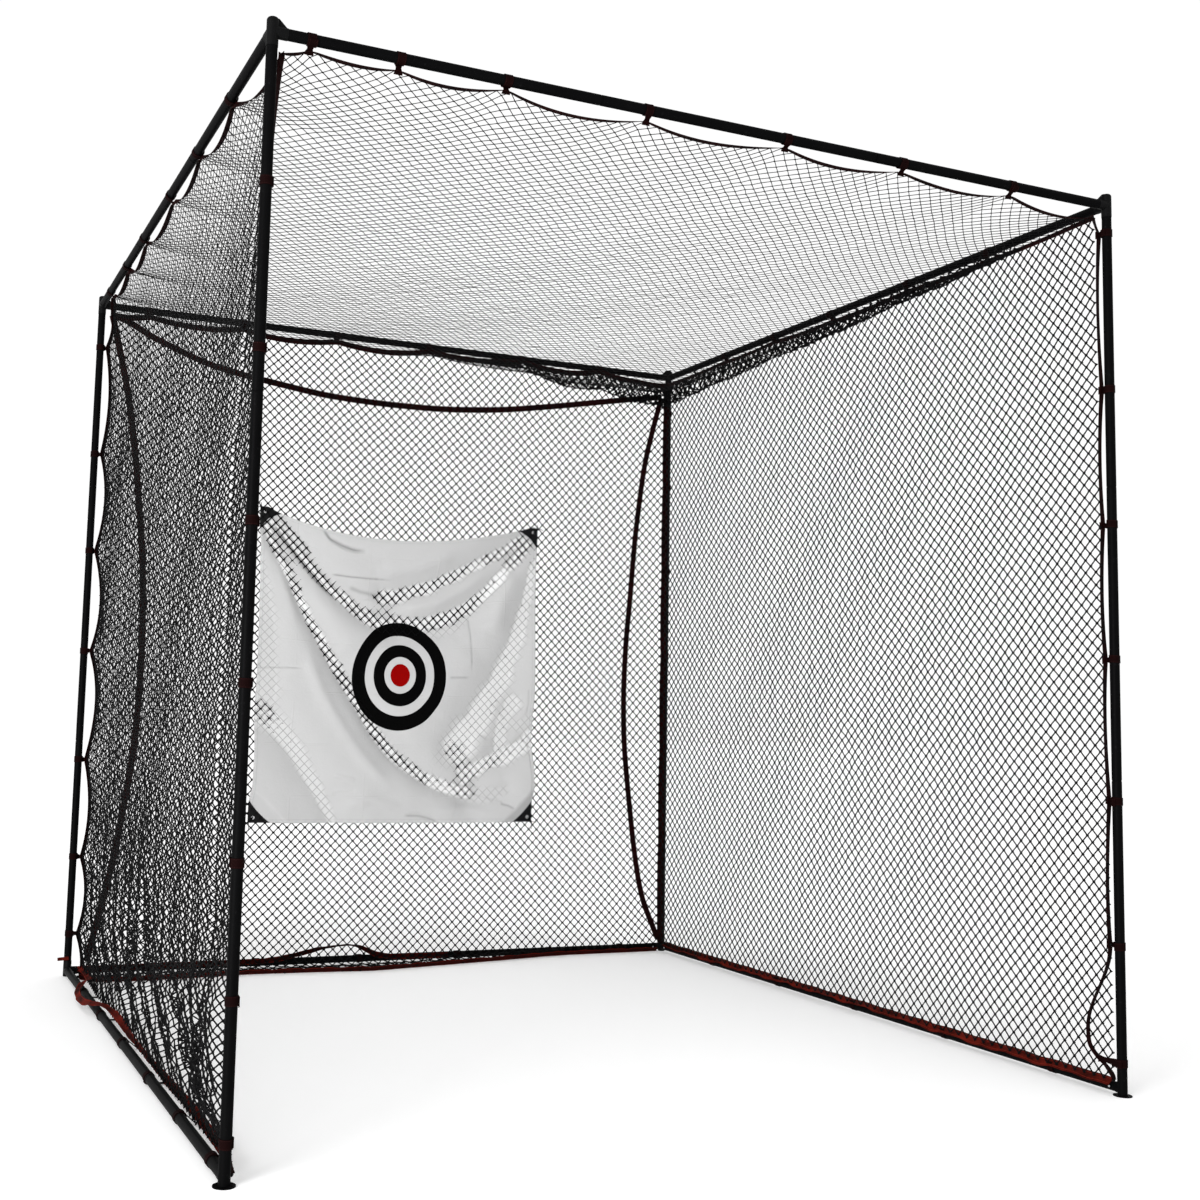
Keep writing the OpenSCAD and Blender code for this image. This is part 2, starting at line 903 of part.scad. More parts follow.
module target_corner_patches() {
    color("#141416")
        at_target_corners()
            difference() {
                rotate([90, 0, 0])
                    linear_extrude(height = patch_t)
                        polygon([[0, 0], [patch_leg, 0], [0, patch_leg]]);
                translate([eye_in, 1, eye_in])
                    rotate([90, 0, 0])
                        cylinder(r = eye_r, h = patch_t + 2);
            }
}

module target_grommets() {
    color("#b9bcc0")
        at_target_corners()
            translate([eye_in, 0, eye_in])
                rotate([90, 0, 0])
                    difference() {
                        union() {
                            translate([0, 0, -1])
                                cylinder(r = eye_r + eye_flange, h = 1);
                            cylinder(r = eye_r - 0.05, h = patch_t);
                            translate([0, 0, patch_t])
                                cylinder(r = eye_r + eye_flange, h = 1);
                        }
                        translate([0, 0, -2])
                            cylinder(r = eye_r - eye_wall, h = patch_t + 4);
                    }
}

// ---- Assembly ----------------------------------------------------------------------------------------

front_post(-1, 0);  // front_left_post_lower
front_post(-1, 1);  // front_left_post_middle
front_post(-1, 2);  // front_left_post_upper
front_post(1, 0);  // front_right_post_lower
front_post(1, 1);  // front_right_post_middle
front_post(1, 2);  // front_right_post_upper
back_post(-1, 0);  // back_left_post_lower
back_post(-1, 1);  // back_left_post_middle
back_post(-1, 2);  // back_left_post_upper
back_post(1, 0);  // back_right_post_lower
back_post(1, 1);  // back_right_post_middle
back_post(1, 2);  // back_right_post_upper
top_rail_x(-1, 0);  // front_top_rail_left
top_rail_x(-1, 1);  // front_top_rail_middle
top_rail_x(-1, 2);  // front_top_rail_right
top_rail_x(1, 0);  // back_top_rail_left
top_rail_x(1, 1);  // back_top_rail_middle
top_rail_x(1, 2);  // back_top_rail_right
top_rail_y(-1, 0);  // left_top_rail_front
top_rail_y(-1, 1);  // left_top_rail_middle
top_rail_y(-1, 2);  // left_top_rail_back
top_rail_y(1, 0);  // right_top_rail_front
top_rail_y(1, 1);  // right_top_rail_middle
top_rail_y(1, 2);  // right_top_rail_back
side_floor_rail(-1, 0);  // left_floor_rail_front
side_floor_rail(-1, 1);  // left_floor_rail_middle
side_floor_rail(-1, 2);  // left_floor_rail_back
side_floor_rail(1, 0);  // right_floor_rail_front
side_floor_rail(1, 1);  // right_floor_rail_middle
side_floor_rail(1, 2);  // right_floor_rail_back
back_floor_rail(0);  // back_floor_rail_left
back_floor_rail(1);  // back_floor_rail_middle
back_floor_rail(2);  // back_floor_rail_right
corner_fitting(-1, -1);  // front_left_corner_fitting
corner_fitting(1, -1);  // front_right_corner_fitting
corner_fitting(-1, 1);  // back_left_corner_fitting
corner_fitting(1, 1);  // back_right_corner_fitting
back_foot_fitting(-1);  // back_left_foot_fitting
back_foot_fitting(1);  // back_right_foot_fitting
snap_button("front", -1);  // left_front_snap_button
snap_button("front", 1);  // right_front_snap_button
snap_button("back", -1);  // left_back_snap_button
snap_button("back", 1);  // right_back_snap_button
snap_button("rear", -1);  // rear_left_snap_button
snap_button("rear", 1);  // rear_right_snap_button
button_leaf_springs();
top_net();
left_net();
right_net();
back_net();
front_edge_tape();
left_border_tape();
right_border_tape();
back_border_tape();
back_arc_tapes();
hook_and_loop_straps();
target_sheet();
target_corner_patches();
target_grommets();
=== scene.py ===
"""Looks of the golf hitting cage: knotted nets, webbing, straps and the target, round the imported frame."""

import math

import bpy
import numpy as np
from mathutils import Matrix, Vector


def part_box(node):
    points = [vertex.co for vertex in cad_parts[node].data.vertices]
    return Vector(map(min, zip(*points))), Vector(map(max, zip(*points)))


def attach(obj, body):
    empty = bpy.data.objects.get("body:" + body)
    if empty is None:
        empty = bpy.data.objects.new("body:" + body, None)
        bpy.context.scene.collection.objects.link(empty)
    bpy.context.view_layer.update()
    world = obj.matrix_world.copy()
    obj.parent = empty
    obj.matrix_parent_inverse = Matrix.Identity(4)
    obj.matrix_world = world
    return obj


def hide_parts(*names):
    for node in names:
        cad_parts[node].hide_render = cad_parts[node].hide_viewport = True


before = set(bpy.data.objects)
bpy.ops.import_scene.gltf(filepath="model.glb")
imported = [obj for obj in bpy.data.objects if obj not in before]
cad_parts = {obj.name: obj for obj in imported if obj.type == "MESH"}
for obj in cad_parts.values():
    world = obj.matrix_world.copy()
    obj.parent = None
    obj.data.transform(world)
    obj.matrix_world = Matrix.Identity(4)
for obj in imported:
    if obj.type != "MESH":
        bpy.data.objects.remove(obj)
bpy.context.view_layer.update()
BODY = "frame"


# ---- Places taken from the frame ---------------------------------------------------------------------

def middle(node):
    low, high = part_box(node)
    return (low + high) / 2


HALF = middle("back_right_post_middle").x
TOP = middle("back_top_rail_middle").z
RAIL = middle("back_floor_rail_middle").z
TUBE_R = (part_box("back_right_post_middle")[1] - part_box("back_right_post_middle")[0]).x / 2
SPAN = 2 * HALF


# ---- Camera ------------------------------------------------------------------------------------------

CAMERA_AT = (-2.422, -5.219, 1.195)
CAMERA_YAW = 22.55
CAMERA_PITCH = 5.83
CAMERA_ROLL = 1.53
CAMERA_LENS = 43.65
CAMERA_SENSOR = 36
CAMERA_SHIFT = (0.1085, -0.0291)


def add_camera():
    yaw, pitch, roll = (math.radians(a) for a in (CAMERA_YAW, CAMERA_PITCH, CAMERA_ROLL))
    ahead = Vector((math.sin(yaw) * math.cos(pitch), math.cos(yaw) * math.cos(pitch), math.sin(pitch)))
    level = Vector((math.cos(yaw), -math.sin(yaw), 0))
    upright = level.cross(ahead)
    right = level * math.cos(roll) + upright * math.sin(roll)
    up = upright * math.cos(roll) - level * math.sin(roll)
    data = bpy.data.cameras.new("camera")
    data.lens = CAMERA_LENS
    data.sensor_width = CAMERA_SENSOR
    data.shift_x, data.shift_y = CAMERA_SHIFT
    data.clip_end = 200
    camera = bpy.data.objects.new("camera", data)
    bpy.context.scene.collection.objects.link(camera)
    turn = Matrix((right, up, -ahead)).transposed().to_4x4()
    camera.matrix_world = Matrix.Translation(CAMERA_AT) @ turn
    bpy.context.scene.camera = camera


add_camera()


# ---- Materials ---------------------------------------------------------------------------------------

def operation(name, swapped=False):
    """A method that makes a maths node from a value and another value or a number"""
    def act(value, other=0.0):
        first, second = (other, value) if swapped else (value, other)
        return value.made.node("Math", {"operation": name}, i0=first, i1=second)
    return act


class Value:
    """A shader node's output, whose operators make more nodes"""

    def __init__(self, made, socket):
        self.made, self.socket = made, socket

    __add__, __mul__, __truediv__, __pow__ = map(operation, ("ADD", "MULTIPLY", "DIVIDE", "POWER"))
    __sub__, __rsub__ = operation("SUBTRACT"), operation("SUBTRACT", True)
    __lt__, __gt__, __abs__ = map(operation, ("LESS_THAN", "GREATER_THAN", "ABSOLUTE"))
    greater, smaller, fraction, root = map(operation, ("MAXIMUM", "MINIMUM", "FRACT", "SQRT"))


class Shader:
    """A material under construction: adds nodes and links with few words"""

    def __init__(self, name, base, roughness, **sockets):
        self.material = bpy.data.materials.new(name)
        self.material.use_nodes = True
        self.material.diffuse_color = (*base, 1)
        self.tree = self.material.node_tree
        self.surface = self.tree.nodes["Principled BSDF"]
        self.put(self.surface, Base_Color=(*base, 1), Roughness=roughness, **sockets)

    def put(self, node, **inputs):
        """Links or sets a node's inputs, given by name with _ for a space, or by number after an i"""
        for name, value in inputs.items():
            key = int(name[1:]) if name[0] == "i" and name[1:].isdigit() else name.replace("_", " ")
            if isinstance(value, Value):
                self.tree.links.new(value.socket, node.inputs[key])
            else:
                node.inputs[key].default_value = value

    def add(self, kind, settings=None, **inputs):
        added = self.tree.nodes.new("ShaderNode" + kind)
        for name, value in (settings or {}).items():
            setattr(added, name, value)
        self.put(added, **inputs)
        return added

    def node(self, kind, settings=None, output=0, **inputs):
        return Value(self, self.add(kind, settings, **inputs).outputs[output])

    def mix(self, share, a, b):
        a, b = (colour if isinstance(colour, Value) else (*colour, 1) for colour in (a, b))
        return self.node("Mix", {"data_type": "RGBA"}, 2, i0=share, i6=a, i7=b)

    def ramp(self, value, *stops):
        """Maps a value through two (place, grey) stops"""
        added = self.add("ValToRGB", Fac=value)
        for element, (place, level) in zip(added.color_ramp.elements, stops):
            element.position = place
            element.color = (*grey(level), 1)
        return Value(self, added.outputs[0])

    def noise(self, vector, scale, detail=3.0, rough=0.55):
        return self.node("TexNoise", Vector=vector, Scale=scale, Detail=detail, Roughness=rough)

    def bands(self, direction, vector, scale, distortion):
        settings = {"wave_type": "BANDS", "bands_direction": direction}
        return self.node("TexWave", settings, Vector=vector, Scale=scale, Distortion=distortion)

    def split(self, vector):
        return [Value(self, output) for output in self.add("SeparateXYZ", Vector=vector).outputs]

    def place(self):
        return self.node("TexCoord", None, "Object")

    def uv(self, name):
        return self.node("UVMap", {"uv_map": name})

    def attribute(self, name):
        return self.node("Attribute", {"attribute_name": name}, "Fac")

    def finished(self, colour, height, strength, distance, **sockets):
        normal = self.node("Bump", Height=height, Strength=strength, Distance=distance)
        self.put(self.surface, Base_Color=colour, Normal=normal, **sockets)
        return self.material


def grey(level):
    return (level, level, level)


def dashes(run, turns, gap):
    """The stitches of a sewn line, which leave the given share open"""
    return (run * turns).fraction() > gap


def powder_coat():
    """Black powder coat: fine orange peel, dust in the satin and faint scuffs"""
    made = Shader("powder_coat", (0.002, 0.002, 0.0021), 0.5, Specular_IOR_Level=0.012)
    place = made.place()
    cloud = made.noise(place, 7, 5, 0.65)
    scuff = made.ramp(made.noise(place, 60, 6, 0.75), (0.60, 0), (0.72, 1))
    coat = made.mix(cloud, (0.0012, 0.0012, 0.0013), (0.0028, 0.0028, 0.003))
    worn = made.mix(scuff, coat, (0.007, 0.007, 0.0075))
    return made.finished(worn, made.noise(place, 900, 2), 0.25, 0.0006, Roughness=cloud * 0.22 + 0.36)


def fitting_coat():
    """The corner fittings' coat, a little rougher over the castings"""
    made = Shader("fitting_coat", (0.002, 0.002, 0.0021), 0.5, Specular_IOR_Level=0.05)
    place = made.place()
    grain = made.noise(place, 420, 4, 0.6)
    coat = made.mix(made.noise(place, 11, 4), (0.0014, 0.0014, 0.0015), (0.0035, 0.0035, 0.0037))
    return made.finished(coat, grain, 0.35, 0.0008, Roughness=grain * 0.2 + 0.42)


def bright_metal(name, base, roughness):
    """Plated steel with fine scratches"""
    made = Shader(name, base, roughness, Metallic=1.0)
    place = made.place()
    scratch = made.noise(made.node("Mapping", Vector=place, Scale=(40, 900, 900)), 1, 3)
    plate = made.mix(made.noise(place, 160, 3), tuple(0.72 * c for c in base), base)
    return made.finished(plate, scratch, 0.15, 0.0003, Roughness=scratch * 0.25 + (roughness - 0.1))


def twine():
    """Braided black twine: the plait runs along each strand's own coordinates"""
    made = Shader("knotted_twine", (0.002, 0.002, 0.0022), 0.7, Specular_IOR_Level=0.05)
    plait = made.bands("DIAGONAL", made.uv("Twine"), 420, 1.5)
    cloud = made.noise(made.place(), 14, 3)
    cord = made.mix(plait * cloud, (0.0012, 0.0012, 0.0014), (0.006, 0.006, 0.0065))
    return made.finished(cord, plait, 0.5, 0.0004)


def webbing(name, dark, light, fade=0.5, shaded_back=False):
    """Woven tape: ribs across it, a stitched line near each edge, darker where it has been handled, and
    optionally darker behind a given place, as painted shade
    """
    made = Shader(name, light, 0.8, Specular_IOR_Level=0.03)
    coords = made.uv("Tape")
    along, across, _ = made.split(coords)
    weave = made.bands("X", coords, 110, 0.6) * made.bands("Y", coords, 150, 0.4)
    stitch = (abs(abs(across) - TAPE_STITCH) < 0.0008) * dashes(along, 240, 0.35)
    cloud = made.ramp(made.noise(made.place(), 9, 5, 0.7), (0.5 - fade / 3, 0), (0.5 + fade / 3, 1))
    if shaded_back:
        # Painted shade: the tape is darker behind and to the right of a given place
        x, y, _ = made.split(made.place())
        unshaded = (y - SHADED_FROM[1] < 0.0).greater(x < SHADED_FROM[0])
        cloud = cloud * unshaded.greater(0.22)
    woven = made.mix(weave * 0.6, made.mix(cloud, dark, light), tuple(0.55 * c for c in dark))
    thread = tuple(min(1, 1.6 * c + 0.002) for c in light)
    return made.finished(made.mix(stitch, woven, thread), weave + stitch * 0.8, 0.6, 0.0006)


def target_cloth():
    """White cloth: a printed bullseye, a hem, faint pack creases, painted shade along its sharp folds, and
    the net's relief where they touch, shown with painted shadows of the strands and painted light through the
    cloth
    """
    made = Shader("target_cloth", grey(0.50), 0.8, Specular_IOR_Level=0.02)

    def lines(turns, near, far):
        """A line across each whole turn, half way through it"""
        return made.ramp(abs(turns.fraction() - 0.5), (near, 1), (far, 0))

    flat = made.uv("Flat")
    x, z, _ = made.split(flat)
    plain = made.mix(made.noise(flat, 3.5, 4, 0.6), grey(0.48), grey(0.53))
    # The net's lines where the cloth lies on them: painted shadows of the strands seen through the thin
    # backlit cloth, which also raise the bump
    touch = made.attribute("touch")
    across, _, up = made.split(made.place())
    strands = [lines((run + SPAN) / MESH_DIAGONAL, 0.030, 0.080) for run in (across + up, across - up)]
    relief = strands[0].greater(strands[1]) * touch
    # Painted light: the cloth is lighter where it lies on the net, as if lit through from behind
    backlit = made.mix(touch ** 3, plain, grey(0.78))
    colour = made.mix(relief * 0.60, backlit, grey(0.03))
    # Painted shade along the sheet's sharp creases, from its shade values
    colour = made.mix(made.attribute("shade"), colour, grey(0.06))
    # The printed rings, from the outermost in
    wobble = (made.noise(flat, 6, 2) - 0.5) * 0.006
    dx, dz = ((place - middle) / stretch for place, middle, stretch in zip((x, z), BULLSEYE, PRINT_STRETCH))
    radius = (dx * dx + dz * dz).root() + wobble
    ink, red = grey(0.0015), (0.24, 0.0008, 0.0008)
    for ring, paint in zip(RINGS, (ink, plain, ink, plain, red)):
        colour = made.mix(radius < ring, colour, paint)
    # Hem: a doubled edge with one dashed row of stitches
    inside = (TARGET_W / 2 - abs(x)).smaller(z.smaller(TARGET_H - z))
    stitch = (abs(inside - HEM_STITCH) < 0.0009) * dashes(x + z, 170, 0.4)
    colour = made.mix(stitch * 0.6, colour, (0.25, 0.25, 0.26))
    # Pack creases on a grid, broken up by noise
    breaks = made.ramp(made.noise(flat, 4.5, 3), (0.46, 0), (0.56, 1))
    folds = (x, TARGET_W / PACK_FOLDS[0]), (z, TARGET_H / PACK_FOLDS[1])
    creases = [lines(run / size + 10.0, 0.0, 0.014) for run, size in folds]
    height = made.noise(flat, 26, 5, 0.62) * 0.9 + relief * 0.5
    height = height + creases[0].greater(creases[1]) * breaks * 0.45 + (inside < HEM_W) * 0.2
    height = height + made.noise(flat, 1400, 2) * 0.05
    return made.finished(colour, height, 0.7, 0.003)


def patch_cloth():
    """Black coated nylon with a row of stitches inside its edge"""
    made = Shader("patch_cloth", grey(0.005), 0.6, Specular_IOR_Level=0.1)
    coords = made.uv("Patch")
    x, z, _ = made.split(coords)
    stitch = (abs(made.attribute("edge") - PATCH_STITCH) < 0.0007) * dashes(x + z, 260, 0.35)
    base = made.mix(made.noise(made.place(), 30, 3), grey(0.003), (0.007, 0.007, 0.0075))
    height = made.bands("DIAGONAL", coords, 260, 0.5) + stitch
    return made.finished(made.mix(stitch, base, (0.03, 0.03, 0.032)), height, 0.5, 0.0005)


# ---- Sizes of the soft goods, in metres --------------------------------------------------------------

MESH_DIAGONAL = 0.0437
# Twine radii: the back and right nets hang taut, the left one is drawn out thin towards its top
TWINE_R = 0.0029
LEFT_TWINE_R = (0.0027, 0.0021, 0.0012)
TOP_TWINE_R = 0.0015
FOLD_TWINE_R = 0.0036
# Radius and half length of a knot, in radii of its twine
KNOT_R = 2.1
KNOT_LEN = 2.9
TAPE_W = 0.028
TAPE_T = 0.0022
STRAP_W = 0.026
STRAP_T = 0.0022
FULL_BAY = 0.42

TARGET_LOW, TARGET_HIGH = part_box("target_sheet")
TARGET_W = TARGET_HIGH.x - TARGET_LOW.x
TARGET_H = TARGET_HIGH.z - TARGET_LOW.z
TARGET_BACK = TARGET_HIGH.y
BULLSEYE = (-0.011, 0.720)
PRINT_STRETCH = (0.93, 1.08)
RINGS = (0.2575, 0.191, 0.1455, 0.0875, 0.054)
PACK_FOLDS = (4, 6)
HEM_W = 0.018
# Sewn lines: how far from the middle of a tape, and from the edge of the cloth and of a patch
TAPE_STITCH, HEM_STITCH, PATCH_STITCH = 0.0105, 0.016, 0.006
# Painted shade: the floor tapes are darker behind and to the right of this place
SHADED_FROM = (-1.40, 1.10)

MATERIALS = {
    "powder_coat": powder_coat(),
    "fitting_coat": fitting_coat(),
    "spring_steel": bright_metal("spring_steel", (0.60, 0.61, 0.63), 0.34),
    "knotted_net": twine(),
    # The border and floor webbing are one red tape painted two ways: darker, as in shade, on the upper and
    # arc tapes, and brighter, as lit, on the floor
    "border_webbing": webbing("border_webbing", (0.0025, 0.001, 0.001), (0.014, 0.0018, 0.0018)),
    "floor_webbing": webbing("floor_webbing", (0.006, 0.0012, 0.001), (0.130, 0.010, 0.005), 0.55, True),
    "hook_and_loop": webbing("hook_and_loop", (0.003, 0.0008, 0.0008), (0.007, 0.0010, 0.0010), 0.9),
    "target_cloth": target_cloth(),
    "patch_cloth": patch_cloth(),
    "grommet_metal": bright_metal("grommet_metal", (0.78, 0.78, 0.80), 0.28),
}


# ---- Mesh helpers ------------------------------------------------------------------------------------

def add_piece(name, layer, points, faces, coords, material, *nodes, slot=None, smooth=True, **attributes):
    """A mesh piece that rides on the frame, in place of CAD nodes; coords has a pair for each face corner"""
    mesh = bpy.data.meshes.new(name)
    mesh.from_pydata(points, [], faces)
    mesh.uv_layers.new(name=layer).data.foreach_set("uv", coords.astype(np.float32).ravel())
    for attribute, values in attributes.items():
        added = mesh.attributes.new(attribute, "FLOAT", "POINT")
        added.data.foreach_set("value", np.concatenate(values).astype(np.float32))
    mesh.polygons.foreach_set("use_smooth", [smooth] * len(mesh.polygons))
    mesh.materials.append(MATERIALS[material])
    mesh.update()
    piece = bpy.data.objects.new(name, mesh)
    bpy.context.scene.collection.objects.link(piece)
    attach(piece, BODY)
    if nodes:
        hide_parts(*nodes)
    return piece


def unit(vectors):
    return vectors / np.maximum(np.linalg.norm(vectors, axis=-1, keepdims=True), 1e-9)


def smooth_step(x, low, high):
    t = np.clip((x - low) / (high - low), 0, 1)
    return t * t * (3 - 2 * t)


def wave(x, y, *terms):
    """A sum of slanted sines: each term is (size, turns along x, turns along y, phase)"""
    return sum(size * np.sin(2 * math.pi * (fx * x + fy * y + phase)) for size, fx, fy, phase in terms)


def bump(x):
    """One half way from 0 to 1, nought at both"""
    return 4 * x * (1 - x)


def bell(x):
    """One at 0, dying away on both sides"""
    return np.exp(-x ** 2)


def jitter(count, size, seed):
    """Small random moves of the knots"""
    return np.random.default_rng(seed).normal(0, size, (count, 3))


def marks(*pairs):
    """Places or other pairs, given in thousandths"""
    return np.array(pairs) / 1000


def smoothed(points, times=2):
    points = np.array(points)
    for _ in range(times):
        points[1:-1] = (points[:-2] + 2 * points[1:-1] + points[2:]) / 4
    return points


def smooth_line(knots, count, times):
    """A smooth line of count points through a few places"""
    steps, numbers = np.linspace(0, len(knots) - 1, count), np.arange(len(knots))
    return smoothed(np.stack([np.interp(steps, numbers, knots[:, k]) for k in (0, 1)], -1), times)


def rings_round(along, helper, sides):
    """A ring of unit vectors square to each of several directions"""
    across = unit(np.cross(along, helper))
    over = np.cross(along, across)
    turns = 2 * math.pi * np.arange(sides)[:, None] / sides
    return across[:, None] * np.cos(turns) + over[:, None] * np.sin(turns)


def skin(rings, coords, closed=False):
    """Points, faces and a pair for each point of a tube through rings; an open one has a lid at each end"""
    count, sides = rings.shape[:2]
    k = np.arange(sides)
    after = (k + 1) % sides
    faces = []
    for r in range(count if closed else count - 1):
        low, up = r * sides, (r + 1) % count * sides
        faces += np.stack([low + k, low + after, up + after, up + k], -1).tolist()
    if not closed:
        faces += [k[::-1].tolist(), ((count - 1) * sides + k).tolist()]
    return rings.reshape(-1, 3), faces, coords.reshape(-1, 2)


def joined(parts):
    """Several (points, faces, pairs) as one, with a pair for each face corner"""
    faces, base = [], 0
    for points, added, _ in parts:
        faces += [[base + k for k in face] for face in added]
        base += len(points)
    points, coords = (np.concatenate([part[k] for part in parts]) for k in (0, 2))
    return points, faces, coords[np.concatenate(faces)]


# ---- Edges of the net: tapes hung from strap to strap -------------------------------------------------

class Edge:
    """A tape's line from corner to corner, as points over shares from 0 to 1"""

    def __init__(self, shares, points):
        self.shares, self.points = np.array(shares), np.array(points)

    def __call__(self, share):
        return np.stack([np.interp(share, self.shares, self.points[:, k]) for k in range(3)], -1)

    def moved(self, offset):
        """The same line with offset(share) added, finely divided"""
        shares = np.linspace(0, 1, 420)
        return Edge(shares, self(shares) + np.array([offset(share) for share in shares]))


def strap_shares(axis, point):
    """Shares along a tube of the straps round it; the tube runs along axis and passes through point"""
    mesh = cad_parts["hook_and_loop_straps"].data
    found = np.empty(len(mesh.vertices) * 3)
    mesh.vertices.foreach_get("co", found)
    found = found.reshape(-1, 3)
    away = np.hypot(*(found[:, k] - point[k] for k in range(3) if k != axis))
    along = np.sort(found[away < 1.3 * TUBE_R, axis])
    groups = np.split(along, np.nonzero(np.diff(along) > STRAP_W)[0] + 1)
    start = RAIL if axis == 2 else -HALF
    return [((g[0] + g[-1]) / 2 - start) / SPAN for g in groups]


def hung_edge(tube, ends, cusps, hold, bow, seed):
    """A tape from corner to corner: hold is its distance from the tube at straps, bow what it adds between"""
    steps, vary = 14, 0.2
    hold, bow = np.array(hold), np.array(bow)
    random = np.random.default_rng(seed)
    stops = [(0.0, ends[0])]
    for share in cusps:
        stops.append((share, tube(share) + hold * random.uniform(0.85, 1.15)))
    stops.append((1.0, ends[1]))
    shares, points = [], []
    for (low, a), (high, b) in zip(stops[:-1], stops[1:]):
        depth = min(1.0, ((high - low) * SPAN / FULL_BAY) ** 1.2) * (1 + vary * random.uniform(-1, 1))
        skew = random.uniform(-0.25, 0.25)
        for t in np.arange(steps) / steps:
            bent = bump(t) * (1 + skew * (2 * t - 1))
            shares.append(low + (high - low) * t)
            points.append(a + (b - a) * t + bow * depth * bent)
    return Edge(shares + [1.0], points + [ends[1]])


# The tubes that the nets hang from: the axis each runs along, and the signs of its other two places
TUBES = {
    "top_front": (0, (0, -1, 1)), "top_back": (0, (0, 1, 1)),
    "top_left": (1, (-1, 0, 1)), "top_right": (1, (1, 0, 1)),
    "front_left": (2, (-1, -1, 0)), "front_right": (2, (1, -1, 0)),
    "back_left": (2, (-1, 1, 0)), "back_right": (2, (1, 1, 0)),
    "floor_left": (1, (-1, 0, -1)), "floor_right": (1, (1, 0, -1)), "floor_back": (0, (0, 1, -1)),
}


def tube_line(name):
    """The centre line of a tube, as a function of the share of its length"""
    axis, signs = TUBES[name]
    middle_height = (TOP + RAIL) / 2
    start = np.array((signs[0] * HALF, signs[1] * HALF, middle_height + signs[2] * HALF))
    start[axis] = (middle_height if axis == 2 else 0) - HALF
    return lambda share: start + SPAN * share * np.eye(3)[axis]


CUSPS = {name: strap_shares(axis, tube_line(name)(0.5)) for name, (axis, _) in TUBES.items()}

# How far each corner of the net box stands in from the posts' centre lines, and above the rails' ones
CORNERS = {
    name: np.array((sx * (HALF - dx), sy * (HALF - dy), (TOP if high else RAIL) + dz))
    for name, sx, sy, high, dx, dy, dz in (
        ("TFL", -1, -1, True, 0.038, 0.038, -0.038), ("TFR", 1, -1, True, 0.030, 0.032, -0.038),
        ("TBL", -1, 1, True, 0.042, 0.040, -0.050), ("TBR", 1, 1, True, 0.030, 0.030, -0.050),
        ("BFL", -1, -1, False, 0.027, 0.034, -0.008), ("BFR", 1, -1, False, 0.016, 0.020, 0.024),
        ("BBL", -1, 1, False, 0.056, 0.034, -0.008), ("BBR", 1, 1, False, 0.022, 0.024, 0.020),
    )
}

# For each tape: its end corners, its distance from the tube at the straps, and the bow between them
HANGING = {
    "top_front": ("TFL", "TFR", (0, 0.010, -0.027), (0, 0.006, -0.028)),
    "top_back": ("TBL", "TBR", (0, -0.012, -0.033), (0, -0.008, -0.026)),
    "top_left": ("TFL", "TBL", (0.008, 0, -0.022), (0.008, 0, -0.042)),
    "top_right": ("TFR", "TBR", (-0.006, 0, -0.034), (-0.002, 0, -0.006)),
    "back_left": ("BBL", "TBL", (0.032, -0.012, 0), (0.026, -0.009, 0)),
    "back_right": ("BBR", "TBR", (-0.020, -0.016, 0), (-0.006, -0.005, 0)),
    "front_left": ("BFL", "TFL", (0.012, 0.030, 0), (0.001, 0.012, 0)),
    "front_right": ("BFR", "TFR", (-0.012, 0.024, 0), (-0.003, 0.008, 0)),
    "floor_left": ("BFL", "BBL", (0.046, 0, -0.018), (0.003, 0, 0.003)),
    "floor_right": ("BFR", "BBR", (-0.014, 0, 0.014), (-0.002, 0, 0.003)),
    "floor_back": ("BBL", "BBR", (0, -0.022, 0.002), (0, -0.004, 0.006)),
}
EDGES = {
    name: hung_edge(tube_line(name), (CORNERS[a], CORNERS[b]), CUSPS[name], hold, bow, seed)
    for seed, (name, (a, b, hold, bow)) in enumerate(HANGING.items(), 1)
}
# The back tape is drawn up closer to its rail towards the right
EDGES["top_back"] = EDGES["top_back"].moved(
    lambda share: (0, 0, 0.020 * smooth_step(share, 0.45, 0.70) * smooth_step(share, 1.0, 0.92)))


# ---- Nets --------------------------------------------------------------------------------------------

CELLS = round((SPAN - 0.08) / MESH_DIAGONAL)
# Lowest height of a net's strands on the floor
LAID_Z = 0.007


def knots_and_strands(columns, rows):
    """Knots of a diamond net as shares of its width and height, and the pairs of knots that strands join"""
    i, j = np.meshgrid(np.arange(columns + 1), np.arange(rows + 1), indexing="ij")
    knot = (i + j) % 2 == 0
    number = np.cumsum(knot.ravel()).reshape(knot.shape) - 1
    pairs = []
    for step in (1, -1):
        low, high = (0, rows) if step > 0 else (1, rows + 1)
        here = number[:-1, low:high][knot[:-1, low:high]]
        there = number[1:, low + step:high + step][knot[:-1, low:high]]
        pairs.append(np.stack([here, there], -1))
    return i[knot] / columns, j[knot] / rows, np.concatenate(pairs)


def spread(low, high, start, end, s, t, reach=9):
    """Points of a net between four edges: what an edge departs from its chord dies away towards the middle"""
    edges = (low, high, start, end)
    low, high, start, end = (EDGES[edge] if isinstance(edge, str) else edge for edge in edges)

    def departs(edge, share, away):
        a, b = edge(0.0), edge(1.0)
        return (edge(share) - (a + (b - a) * share[:, None])) * ((1 - away) ** reach)[:, None]

    flat = ((1 - s) * (1 - t))[:, None] * low(0.0) + (s * (1 - t))[:, None] * low(1.0)
    flat = flat + ((1 - s) * t)[:, None] * high(0.0) + (s * t)[:, None] * high(1.0)
    flat = flat + departs(low, s, t) + departs(high, s, 1 - t)
    return flat + departs(start, t, s) + departs(end, t, 1 - s)


